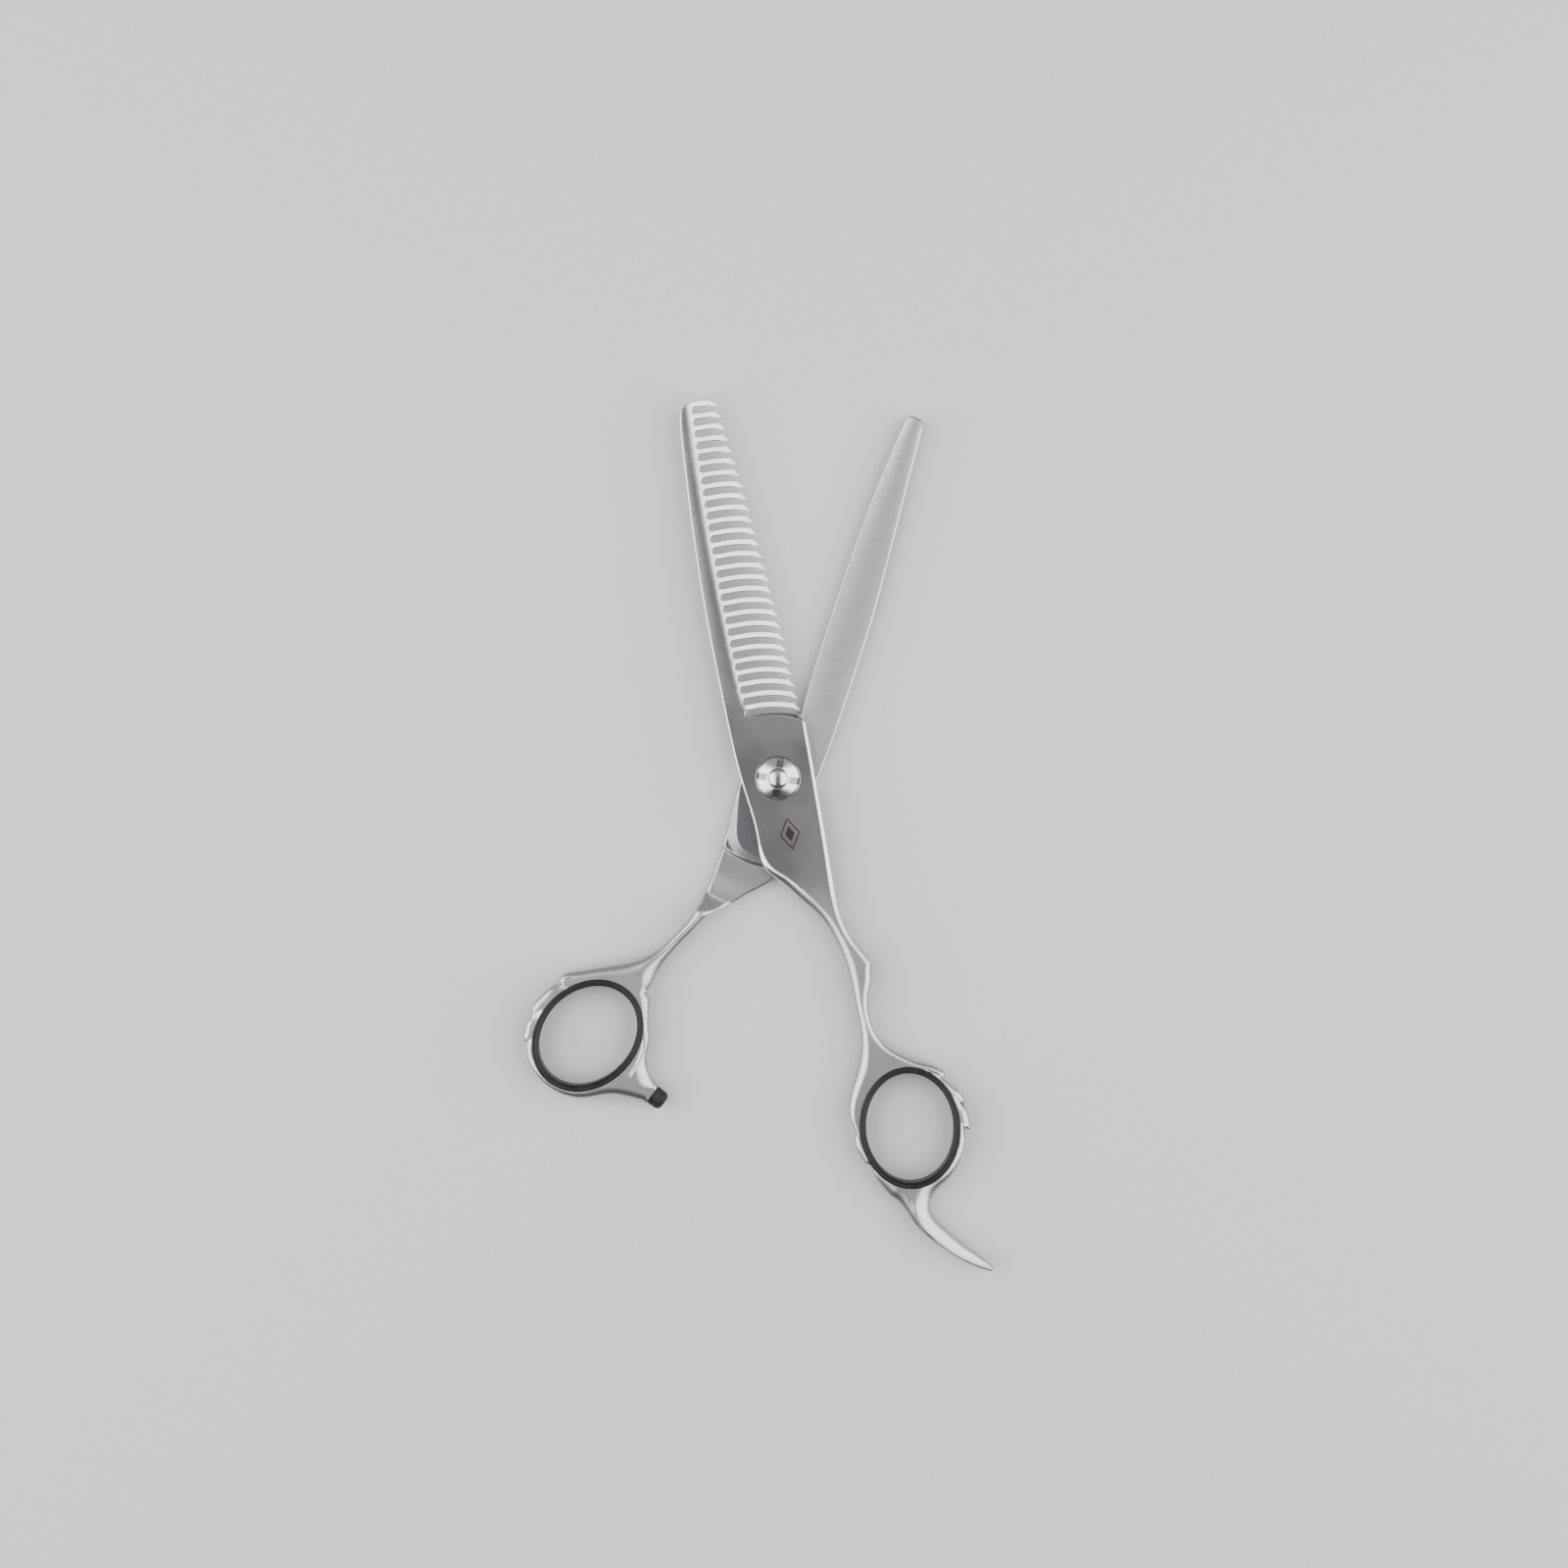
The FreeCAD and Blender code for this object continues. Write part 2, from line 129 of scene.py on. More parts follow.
SLOT_COUNT = 27
FIRST_SLOT_Y = 70.1
LAST_SLOT_Y = 12.95
SLOT_BEND_X = -1.5
SLOT_BEND_RADIUS = 19.0
SLOT_HALF_WIDTH = 0.6
SLOT_HALF_TAPER = 0.1
SLOT_ROOT_X = (-3.1, -2.12)
SLOT_ROOT_BOW = 3.24
TOOTH_TIP_X = 6.6
TOOTH_TIP_FALL = 1.4
TOOTH_TIP_BOW = 2.8
TOOTH_SLANT = 0.95
TOOTH_SERRATIONS = 4
SLOT_BEVEL = (0.12, 0.07)
NICK = np.array((0.16, 0.04))
SHOULDER_TOP = (-3.0, 12.15)
SHOULDER_BOW = 0.028

# The comb's ground face, each at the comb's heel and at its tip: its slope towards the teeth's
# ends, its slope towards the spine, and where the first begins from the slots' roots.
GRIND_SLOPE = (0.165, 0.2)
SPINE_SLOPE = (0.05, 0.1)
GRIND_START = (-1.2, -2.4)

# The plain blade's hollow-ground inner face, and the slope of the bevel behind its cutting edge,
# which leaves EDGE_LEFT of the thickness.
HOLLOW_DEPTH = 0.16
HEEL_Y = 9.0
EDGE_SLOPE = 0.48
EDGE_LEFT = 0.3

# Outside the flat that rides: a small step down, and then a slope, over a strip.
RIDE_STEP = 0.05
RIDE_SLOPE = 0.1
RIDE_STRIP = 1.8

# Outlines run with the metal on their left. Each point is x, y, and then the bevel of the top
# edge there: its width in plan, its depth, and how round it is (0 a flat chamfer, 1 round). A
# point with a width alone is round, and as deep as suits that width. A point with no bevel of
# its own takes the one that stands at the end of its stroke. Each stroke runs on to the start
# of the next.

ROUND_DEPTH = 0.1
ROUND_SLOPE = 0.66
ROUND_DEEPEST = 1.35


def edge(points, *bevel):
    """One stroke of an outline, with the whole bevel at every point."""
    stroke = []
    for x, y, *own in points:
        if len(own) == 1:
            depth = min(ROUND_DEPTH + ROUND_SLOPE * own[0], ROUND_DEEPEST)
            own = own[0], round(depth, 2), 1.0
        stroke.append((x, y, *(own or bevel)))
    return stroke


COMB_TIP = edge([
    (1.55, 71.2), (0.6, 71.6), (-0.9, 71.86), (-2.3, 71.85), (-3.6, 71.45, 0.14, 0.06, 0.0),
    (-4.45, 70.75, 0.14, 0.06, 0.1)], 0.12, 0.05, 0.0)
COMB_SPINE = edge([
    (-4.95, 69.7, 0.16, 0.07, 0.2), (-5.2, 68.4), (-5.6, 64.9), (-6.2, 57.2), (-6.95, 45.0), (-7.4, 29.0),
    (-7.3, 16.5, 0.2, 0.09, 0.2), (-6.65, 0.0, 0.2, 0.09, 0.2), (-5.85, -11.0, 0.25, 0.12, 0.3),
    (-5.9, -14.6, 0.9, 0.41, 0.6), (-5.3, -16.4, 1.2, 0.89, 0.9), (-2.9, -19.4, 1.9), (-0.1, -23.0, 2.1),
    (2.7, -26.7, 1.8), (4.6, -30.9, 1.6), (5.9, -37.0, 1.75), (6.15, -44.5, 1.15), (6.0, -50.2, 1.4),
    (4.4, -55.5, 1.9), (2.0, -60.3, 1.45), (1.1, -64.2, 1.0)], 0.18, 0.08, 0.2)
FINGER_LEFT_2 = edge([(1.7, -67.4, 0.5), (1.12, -68.9, 1.0), (1.45, -71.3, 1.1)])
FINGER_LEFT_3 = edge([
    (2.2, -73.3, 0.9), (3.05, -73.75, 0.5), (3.35, -75.2, 1.4, 1.02, 0.8), (4.3, -77.9, 2.3)])
TANG_LEFT = edge([
    (5.75, -80.35, 2.6), (6.25, -80.75, 2.6), (8.0, -83.6, 2.0, 1.3, 1.0), (9.6, -86.7, 0.8, 0.63, 0.9),
    (11.6, -89.4, 0.45), (14.3, -92.4, 0.4, 0.8, 1.0), (17.6, -95.3, 0.4, 0.6, 1.0)])
TANG_TIP = edge([(21.0, -97.35, 0.3), (21.75, -97.4, 0.3)])
TANG_RIGHT = edge([
    (21.95, -96.85, 0.35, 0.35, 1.0), (20.1, -94.5, 1.7, 0.9, 1.0), (17.2, -91.3, 2.6, 1.5, 1.0),
    (14.2, -87.4, 3.2, 1.85, 1.0), (12.6, -84.2, 3.3, 2.0, 1.0), (13.7, -81.5, 3.0, 1.8, 1.0),
    (16.6, -79.35, 1.6), (19.7, -76.1, 1.2), (21.2, -73.0, 1.0)])
FINGER_RIGHT_3 = edge([(21.6, -70.1, 0.8), (22.45, -70.75, 0.6), (22.9, -69.2, 1.3), (22.65, -67.0, 1.2)])
FINGER_RIGHT_2 = edge([(22.0, -65.3, 0.7), (22.5, -65.75, 0.6), (22.5, -64.4, 1.2), (21.3, -62.5, 1.3)])
FINGER_RIGHT_1 = edge([
    (19.5, -60.35, 0.7), (20.0, -59.95, 0.6), (19.4, -58.75, 1.2), (15.9, -56.6, 1.3), (12.7, -54.6, 1.2),
    (10.0, -52.1, 1.1), (8.6, -49.2, 1.0), (8.25, -46.0, 0.95), (8.8, -42.8, 1.1),
    (10.05, -39.6, 1.2, 0.89, 0.8), (10.5, -36.9, 1.2, 1.6, 0.6)])
COMB_RIGHT = edge([
    (10.5, -36.9, 0.96, 0.67, 0.6), (9.4, -34.6, 0.92, 0.64, 0.5), (7.6, -31.0, 0.88, 0.62, 0.5),
    (6.6, -27.0, 0.84, 0.59, 0.5), (6.35, -21.0, 0.76, 0.35, 0.4), (6.5, -14.0, 0.6, 0.28, 0.4),
    (6.7, -4.0, 0.52, 0.24, 0.4), (6.85, 4.5, 0.48, 0.22, 0.4), (6.9, 9.3, 0.44, 0.2, 0.4)])
PLAIN_TIP = edge([
    (2.9, 71.3, 0.3, 0.2, 0.2), (2.3, 71.85), (1.1, 71.95), (0.0, 71.8, 0.25, 0.15, 0.2)], 0.3, 0.2, 0.3)
PLAIN_EDGE = edge([
    (-0.45, 71.2), (-0.85, 65.0), (-1.2, 57.0), (-1.33, 47.0), (-1.1, 36.0), (-0.45, 20.0),
    (0.25, 10.5)], 0.1, 0.05, 0.0)
PLAIN_HEEL = edge([
    (0.25, 10.5, 0.1, 0.05, 0.0), (-1.8, 8.0, 0.15, 0.1, 0.0), (-4.6, 6.3), (-6.4, 4.0),
    (-6.7, 0.0, 0.25, 0.2, 0.0), (-6.2, -8.0, 0.25, 0.2, 0.0), (-5.3, -15.0, 0.3, 0.25, 0.2),
    (-5.15, -19.0, 0.35, 0.35, 0.5), (-5.35, -22.5, 0.5, 0.43, 0.9), (-5.75, -26.0, 1.2),
    (-6.5, -29.6, 1.5), (-8.1, -33.6, 1.5), (-9.9, -37.1, 1.7), (-12.0, -39.6, 2.2), (-15.4, -42.1, 2.3),
    (-19.1, -44.1, 1.8), (-22.8, -46.2, 1.7), (-25.3, -48.4, 1.2), (-25.2, -49.4, 0.8)], 0.2, 0.15, 0.0)
THUMB_LEFT_2 = edge([
    (-24.6, -49.95, 0.5), (-25.9, -50.3, 0.8), (-27.3, -52.3, 1.2), (-28.4, -55.1, 1.2),
    (-28.3, -56.3, 0.8)])
THUMB_LEFT_3 = edge([
    (-27.75, -56.75, 0.5), (-28.3, -58.0, 0.9), (-28.2, -60.3, 1.0), (-27.75, -61.7, 0.8)])
THUMB_BOTTOM = edge([
    (-27.05, -61.9, 0.5), (-26.6, -63.4, 0.7), (-24.4, -66.3, 0.8), (-21.0, -68.2, 0.9),
    (-17.0, -68.85, 1.1), (-13.2, -68.0, 1.3), (-9.4, -66.0, 1.8), (-6.0, -65.25, 2.2),
    (-2.4, -64.95, 2.0)])
THUMB_POST = edge([(-2.4, -64.95), (-1.86, -63.17), (-1.32, -61.4)], 0.12, 0.1, 0.0)
THUMB_RIGHT = edge([
    (-1.32, -61.4, 2.4), (-3.4, -60.0, 3.2), (-4.8, -58.2, 2.4, 1.3, 1.0), (-5.5, -56.0, 1.5, 1.05, 1.0),
    (-5.9, -53.4, 1.2)])
THUMB_RIGHT_2 = edge([
    (-6.75, -51.9, 0.8), (-7.15, -50.6, 1.2), (-8.0, -47.8, 1.6, 1.15, 1.0),
    (-9.0, -46.1, 1.5, 1.05, 1.0)])
THUMB_RIGHT_3 = edge([
    (-9.45, -45.8), (-9.1, -44.6, 2.2, 1.25, 1.0), (-8.9, -42.6, 3.2), (-8.2, -39.4, 3.0),
    (-6.7, -35.4, 2.0, 1.25, 1.0), (-4.8, -31.0), (-3.9, -28.9, 1.0), (-2.9, -27.4, 0.5, 0.23, 0.6),
    (-0.9, -25.4, 0.4, 0.18, 0.4)], 1.4, 1.0, 1.0)
PLAIN_SPINE = edge([
    (2.0, -21.9, 0.35, 0.3, 0.2), (5.3, -18.0, 0.3, 0.25, 0.1), (6.4, -14.5, 0.3, 0.25, 0.1),
    (6.8, -6.0, 0.3, 0.25, 0.1), (7.08, 4.0), (7.0, 18.0), (6.4, 33.6), (5.15, 48.0), (3.95, 60.0),
    (2.9, 71.3, 0.3, 0.2, 0.2)], 0.3, 0.22, 0.0)

# Overlaps in the scrollwork of the rings, each from its inner end to the outline: points, and
# then the step's depth. The metal on the left of the line ends in a step above the metal on its
# right, or the other way round where the depth is negative.
FINGER_STEPS = [([(17.6, -59.0), (18.8, -59.9), (19.75, -60.3)], 0.4),
                ([(20.7, -63.6), (21.5, -64.8), (22.25, -65.8)], 0.4),
                ([(21.2, -68.9), (21.6, -69.9), (22.2, -70.6)], 0.35)]
THUMB_STEPS = [([(-22.6, -49.6), (-23.8, -49.8), (-24.9, -49.75)], -0.4),
               ([(-26.4, -55.2), (-27.2, -55.9), (-28.0, -56.6)], -0.4),
               ([(-26.4, -60.8), (-26.9, -61.5), (-27.4, -61.95)], -0.35)]

# Grooves: points, depth, half width
FINGER_GROOVES = [([(9.0, -80.8), (9.2, -83.0), (9.4, -85.5), (10.2, -87.3), (11.3, -88.7),
                    (12.6, -90.1)], 0.12, 0.35),
                  ([(16.5, -58.2), (18.0, -59.1), (19.2, -59.6)], 0.12, 0.25)]
THUMB_GROOVES = [([(-10.0, -46.5), (-8.7, -48.8), (-7.4, -51.5)], 0.1, 0.22),
                 ([(-7.0, -53.5), (-6.4, -56.0), (-6.5, -59.0), (-7.4, -62.2)], 0.12, 0.4),
                 ([(-23.0, -47.6), (-24.0, -48.3), (-25.0, -48.7)], 0.12, 0.25)]

# The flat that rides on the comb half is bounded by this edge, from its left end.
RIDE_EDGE = [(-6.6, -1.0), (-5.9, -4.5), (-5.2, -7.5), (-4.3, -10.5), (-3.3, -13.0), (-1.9, -14.3),
             (0.5, -14.9), (6.0, -15.4)]

FINEST_GAP = 0.04
TURN_LIMIT = math.radians(5.0)


def smooth_line(points, longest=0.7):
    """Samples of a natural cubic spline through points, closer together where it bends."""
    points = np.array(points, float)
    knots = np.concatenate([[0.0], np.cumsum(np.hypot(*np.diff(points[:, :2], axis=0).T))])
    gaps = np.diff(knots)
    count = len(points)
    system = np.eye(count)
    right = np.zeros((count, 2))
    for i in range(1, count - 1):
        system[i, i - 1:i + 2] = gaps[i - 1], 2 * (gaps[i - 1] + gaps[i]), gaps[i]
        slopes = (points[i + 1, :2] - points[i, :2]) / gaps[i]
        right[i] = 6 * (slopes - (points[i, :2] - points[i - 1, :2]) / gaps[i - 1])
    bend = np.linalg.solve(system, right)
    dense = []
    for i in range(count - 1):
        steps = max(4, int(gaps[i] / FINEST_GAP))
        t = np.linspace(0, 1, steps, endpoint=False)[:, None]
        near, far = 1 - t, t
        place = near * points[i, :2] + far * points[i + 1, :2] + gaps[i] ** 2 / 6 * (
            (near ** 3 - near) * bend[i] + (far ** 3 - far) * bend[i + 1])
        bevel = near * points[i, 2:] + far * points[i + 1, 2:]
        dense.append(np.hstack([place, bevel]))
    dense = np.vstack(dense + [points[-1:]])
    kept = [0]
    heading = dense[1, :2] - dense[0, :2]
    for i in range(1, len(dense) - 1):
        ahead = dense[i + 1, :2] - dense[i, :2]
        cross = heading[0] * ahead[1] - heading[1] * ahead[0]
        turned = abs(math.atan2(cross, heading @ ahead))
        run = np.hypot(*(dense[i, :2] - dense[kept[-1], :2]))
        if run > longest or (turned > TURN_LIMIT and run > 2 * FINEST_GAP):
            kept.append(i)
            heading = ahead
    return dense[kept]


SOFT_CORNER = math.radians(28)


class Rim:
    """A closed line of samples (x, y, bevel width, bevel depth, roundness), metal on its left.

    Its bevel is worked out for each side apart, and where two sides' bevels meet they add."""

    def __init__(self, samples, sides=None):
        self.samples = np.array(samples, float)
        self.points = self.samples[:, :2]
        self.sides = np.zeros(len(samples), int) if sides is None else np.array(sides)
        run = np.roll(self.points, -1, axis=0) - self.points
        self.lengths = np.maximum(np.hypot(*run.T), 1e-9)
        self.along = run / self.lengths[:, None]
        inward = np.stack([-self.along[:, 1], self.along[:, 0]], 1)
        before = np.roll(inward, 1, axis=0)
        soft = (inward * before).sum(1) > math.cos(SOFT_CORNER)
        middle = inward + before
        middle /= np.maximum(np.hypot(*middle.T), 1e-9)[:, None]
        self.start_normals = np.where(soft[:, None], middle, inward)
        self.end_normals = np.roll(np.where(soft[:, None], middle, before), -1, axis=0)
        self.corner_normals = middle
        self.trees = {}
        for side in (None, *np.unique(self.sides)):
            used = np.ones(len(samples), bool) if side is None else self.sides == side
            used = np.nonzero(used | np.roll(used, 1))[0]
            tree = kdtree.KDTree(len(used))
            for i in used:
                tree.insert((*self.points[i], 0), int(i))
            tree.balance()
            self.trees[side] = tree

    def nearest(self, places, side=None):
        """Distance to the rim, the direction straight away from it, and the bevel there."""
        tree = self.trees[side]
        closest = np.array([tree.find((x, y, 0))[1] for x, y in places], int)
        count = len(self.points)
        best = np.full(len(places), np.inf)
        direction = np.zeros((len(places), 2))
        bevel = np.zeros((len(places), 3))
        for shift in (-2, -1, 0, 1):
            i = (closest + shift) % count
            share = ((places - self.points[i]) * self.along[i]).sum(1) / self.lengths[i]
            share = np.clip(share, 0, 1)[:, None]
            foot = self.points[i] + self.along[i] * self.lengths[i][:, None] * share
            distance = np.hypot(*(places - foot).T)
            if side is not None:
                distance = np.where(self.sides[i] == side, distance, np.inf)
            better = distance < best - 1e-9
            best = np.where(better, distance, best)
            normal = self.start_normals[i] * (1 - share) + self.end_normals[i] * share
            direction = np.where(better[:, None], normal, direction)
            here = self.samples[i, 2:] * (1 - share) + self.samples[(i + 1) % count, 2:] * share
            bevel = np.where(better[:, None], here, bevel)
        direction /= np.maximum(np.hypot(*direction.T), 1e-9)[:, None]
        return best, direction, bevel


def strokes_rim(*sides):
    """A rim from each side's strokes in turn. A stroke runs on to where the next one starts."""
    strokes = [(side, stroke) for side, group in enumerate(sides) for stroke in group]
    samples, owners = [], []
    for (side, stroke), (_, ahead) in zip(strokes, strokes[1:] + strokes[:1]):
        if len(stroke) > 1 and stroke[-1][:2] != ahead[0][:2]:
            stroke = stroke + ahead[:1]
        line = smooth_line(stroke)[:-1] if len(stroke) > 1 else np.array(stroke)
        samples.append(line)
        owners += [side] * len(line)
    return Rim(np.vstack(samples), owners)


def bevel_drop(distance, bevel):
    """How far a bevelled edge falls at a distance from the rim, and its slope there."""
    width, depth, roundness = np.maximum(bevel[:, 0], 1e-3), bevel[:, 1], bevel[:, 2]
    rest = np.clip(1 - distance / width, 0, 1)
    under = np.sqrt(np.maximum(1 - rest ** 2, 1e-4))
    drop = depth * ((1 - roundness) * rest + roundness * (1 - np.sqrt(1 - rest ** 2)))
    slope = depth / width * ((1 - roundness) + roundness * rest / under)
    return drop, np.where(rest > 0, slope, 0.0)


def ring_place(ring, across, along):
    """Where a place in a ring's own axes is, across the ring and along it."""
    x, y, lean = ring
    return (x + across * math.cos(lean) + along * math.sin(lean),
            y - across * math.sin(lean) + along * math.cos(lean))


def oval_rim(ring, half_long, half_short, count=160, bevel=(0.3, 0.2, 0.0)):
    """A hole's rim: it runs clockwise, so that the metal is on its left."""
    angles = -np.linspace(0, 2 * math.pi, count, endpoint=False)
    places = ring_place(ring, half_short * np.cos(angles), half_long * np.sin(angles))
    samples = np.zeros((count, 5))
    samples[:, :2] = np.transpose(places)
    samples[:, 2:] = bevel
    return Rim(samples)


def smoothstep(t):
    t = np.clip(t, 0, 1)
    return t * t * (3 - 2 * t)


def soft_ramp(t, start, end):
    """Rises from 0 with its slope growing from 0 at start to 1 at end, and straight on."""
    share = np.clip((t - start) / (end - start), 0, 1)
    return (end - start) * (share ** 2) / 2 + np.maximum(t - end, 0)


def soft_curve(points):
    """A smooth curve through plain x, y points."""
    return smooth_line([(*p, 0.0, 0.0, 0.0) for p in points], 0.3)[:, :2]


def side_of_line(points, places):
    """Distance to the left of a curve, how far along it, and the distance from it."""
    line = soft_curve(points)
    best = np.full(len(places), np.inf)
    side = np.zeros(len(places))
    share = np.zeros(len(places))
    lengths = np.hypot(*np.diff(line, axis=0).T)
    total = lengths.sum()
    for i, length in enumerate(lengths):
        along = (line[i + 1] - line[i]) / length
        offset = places - line[i]
        clipped = np.clip(offset @ along, 0, length)
        distance = np.hypot(*(offset - clipped[:, None] * along).T)
        cross = along[0] * offset[:, 1] - along[1] * offset[:, 0]
        better = distance < best
        best = np.where(better, distance, best)
        side = np.where(better, cross, side)
        share = np.where(better, (lengths[:i].sum() + clipped) / total, share)
    return side, share, best


def near_line(points, places, reach):
    """Which places lie in the box round a line, with some reach to spare."""
    low, high = np.min(points, axis=0) - reach, np.max(points, axis=0) + reach
    return ((places > low) & (places < high)).all(axis=1)


def grooves(lines, places):
    """The drop of grooves, each (line, depth, half width), which fade at both ends."""
    drop = np.zeros(len(places))
    for line, depth, half_width in lines:
        near = near_line(line, places, half_width)
        _, share, distance = side_of_line(line, places[near])
        section = (1 - np.clip(distance / half_width, 0, 1) ** 2) ** 2
        drop[near] += depth * section * smoothstep(4 * share) * smoothstep(4 * (1 - share))
    return drop


STEP_HALF_WIDTH = 0.06


def scroll_steps(steps, places):
    """The drop just past each overlap of the scrollwork, which fades away from it."""
    drop = np.zeros(len(places))
    for line, depth in steps:
        near = near_line(line, places, 4.0)
        side, share, distance = side_of_line(line, places[near])
        under = -side * np.sign(depth)
        reach = np.exp(-distance / 0.9) * (1 - smoothstep((distance - 2.5) / 1.4))
        step = smoothstep((under + STEP_HALF_WIDTH) / (2 * STEP_HALF_WIDTH))
        drop[near] += abs(depth) * smoothstep(share * 1.2) * reach * step
    return drop


# ---- The comb half ----

def slot_drop(x):
    reach = np.clip(x - SLOT_BEND_X, 0.0, 0.9 * SLOT_BEND_RADIUS)
    return SLOT_BEND_RADIUS - np.sqrt(SLOT_BEND_RADIUS ** 2 - reach ** 2)


def along_comb(y):
    return (y - LAST_SLOT_Y) / (FIRST_SLOT_Y - LAST_SLOT_Y)


def heel_to_tip(y, heel, tip):
    """A value that changes evenly along the comb."""
    return heel + (tip - heel) * along_comb(y)


def slot_root_x(y):
    share = along_comb(y)
    return heel_to_tip(y, *SLOT_ROOT_X) - SLOT_ROOT_BOW * share * (1.0 - share)


def tooth_tip_x(y):
    share = along_comb(y)
    return TOOTH_TIP_X - TOOTH_TIP_FALL * share - TOOTH_TIP_BOW * share ** 2


def slot_side(y, side, start_x):
    """One side of a slot, from start_x to just before its round end; side is 1 or -1."""
    root, tip_x = float(slot_root_x(y)), float(tooth_tip_x(y))
    xs = np.concatenate([np.linspace(start_x, SLOT_BEND_X, 9), [(root + SLOT_BEND_X) / 2]])
    half = SLOT_HALF_WIDTH - SLOT_HALF_TAPER * np.clip((xs - root) / (tip_x - root), 0, 1)
    return [(x, y - slot_drop(x) + side * h) for x, h in zip(xs, half)]


def slot_outline(y):
    """Down one slot's lower side, round its end, out along its upper side, and up the tooth."""
    tip_x = float(tooth_tip_x(y))
    root = float(slot_root_x(y))
    lower = slot_side(y, -1, tip_x if y == LAST_SLOT_Y else tip_x - TOOTH_SLANT)
    upper = slot_side(y, 1, tip_x)[::-1]
    angles = np.radians(np.linspace(-90, -270, 9))
    end = [(root + SLOT_HALF_WIDTH * math.cos(a), y + SLOT_HALF_WIDTH * math.sin(a)) for a in angles]
    rim = []
    for x, place_y in lower + end + upper:
        rim.append((x, place_y, SLOT_BEVEL[0], SLOT_BEVEL[1] * min(1.0, (tip_x - x) / 2.5), 0.0))
    tip = np.array(upper[-1])
    above = y + (FIRST_SLOT_Y - LAST_SLOT_Y) / (SLOT_COUNT - 1)
    corner_x = float(tooth_tip_x(above)) - TOOTH_SLANT
    corner = np.array([corner_x, above - float(slot_drop(corner_x)) - SLOT_HALF_WIDTH + 0.08])
    if y == FIRST_SLOT_Y:
        corner = np.array(COMB_TIP[0][:2])
    saw = []
    for i in range(1, TOOTH_SERRATIONS):
        crest = tip + (corner - tip) * i / TOOTH_SERRATIONS
        saw.append((*(crest - NICK), 0.05, 0.0, 0.0))
        saw.append((*crest, 0.05, 0.0, 0.0))
    return rim + saw


def comb_rim():
    """Side 0 is the left, side 1 the right, and side 2 the slots and the ends of the teeth."""
    left = COMB_TIP, COMB_SPINE, FINGER_LEFT_2, FINGER_LEFT_3, TANG_LEFT
    right = (TANG_TIP, TANG_RIGHT, FINGER_RIGHT_3, FINGER_RIGHT_2, FINGER_RIGHT_1, COMB_RIGHT,
             COMB_RIGHT[-1:])
    slots = np.linspace(LAST_SLOT_Y, FIRST_SLOT_Y, SLOT_COUNT)
    return strokes_rim(left, right, [[point] for y in slots for point in slot_outline(y)])


def comb_shoulder(x):
    """Where the comb's bevel ends in a step up to the flat plate."""
    return SHOULDER_TOP[1] - SHOULDER_BOW * (x - SHOULDER_TOP[0]) ** 2


def tang_thinning(places):
    """How far each face of the tang is drawn in towards its tip."""
    root, tip = np.array(TANG_ROOT), np.array(TANG_RIGHT[0][:2])
    run = tip - root
    return TANG_DRAW * smoothstep((places - root) @ run / (run @ run))


def tip_taper(y):
    """0 up to where a blade's taper starts, and 1 at its tip."""
    return soft_ramp(y, TAPER_START, TAPER_FULL) / (BLADE_TIP_Y - (TAPER_START + TAPER_FULL) / 2)


def comb_ground(places):
    """Height of the comb half's top, which takes its outline's bevels everywhere."""
    x, y = places.T
    reach = x - (slot_root_x(y) - 0.3)
    grind = heel_to_tip(y, *GRIND_SLOPE) * soft_ramp(reach, heel_to_tip(y, *GRIND_START), -0.3)
    grind += heel_to_tip(y, *SPINE_SLOPE) * soft_ramp(-reach, 1.4, 3.4)
    shoulder = comb_shoulder(x)
    below_slot = LAST_SLOT_Y - slot_drop(x) - SLOT_HALF_WIDTH
    runout = np.clip((y - shoulder) / np.maximum(below_slot - shoulder, 0.15), 0, 1)
    fading = smoothstep((y - 11.6 + 0.6 * (x + 3.2)) / 5.0)
    share = fading + (runout - fading) * smoothstep((x + 3.7) / 2.0)
    scroll = scroll_steps(FINGER_STEPS, places) + grooves(FINGER_GROOVES, places)
    drop = COMB_TIP_DROP * tip_taper(y) + grind * share + scroll + tang_thinning(places)
    return COMB_HIGH - drop, np.ones(len(places))


def relief_share(places):
    """0 inside the pivot's relief circle and on the blades, and 1 on the shanks past its foot."""
    share = smoothstep((np.hypot(*places.T) - RELIEF_RADIUS) / (RELIEF_FOOT - RELIEF_RADIUS))
    return np.where(places[:, 1] < 0, share, 0.0)


def comb_floor(places):
    """Height of the comb half's underside, with sharp edges on the blade."""
    share = relief_share(places)
    return COMB_LOW + (SHANK_LOW - COMB_LOW) * share + tang_thinning(places), share


# ---- The plain half, closed ----

def plain_rim():
    """Side 0 is the left with the cutting edge, and side 1 the right with the spine."""
    left = PLAIN_TIP, PLAIN_EDGE, PLAIN_HEEL, THUMB_LEFT_2, THUMB_LEFT_3, THUMB_BOTTOM
    right = THUMB_POST, THUMB_RIGHT, THUMB_RIGHT_2, THUMB_RIGHT_3, PLAIN_SPINE
    return strokes_rim(left, right)


def stroke_x(stroke, y):
    """The x of a stroke that runs along the blade, level past its ends."""
    return np.interp(y, *zip(*sorted((point[1], point[0]) for point in stroke)))


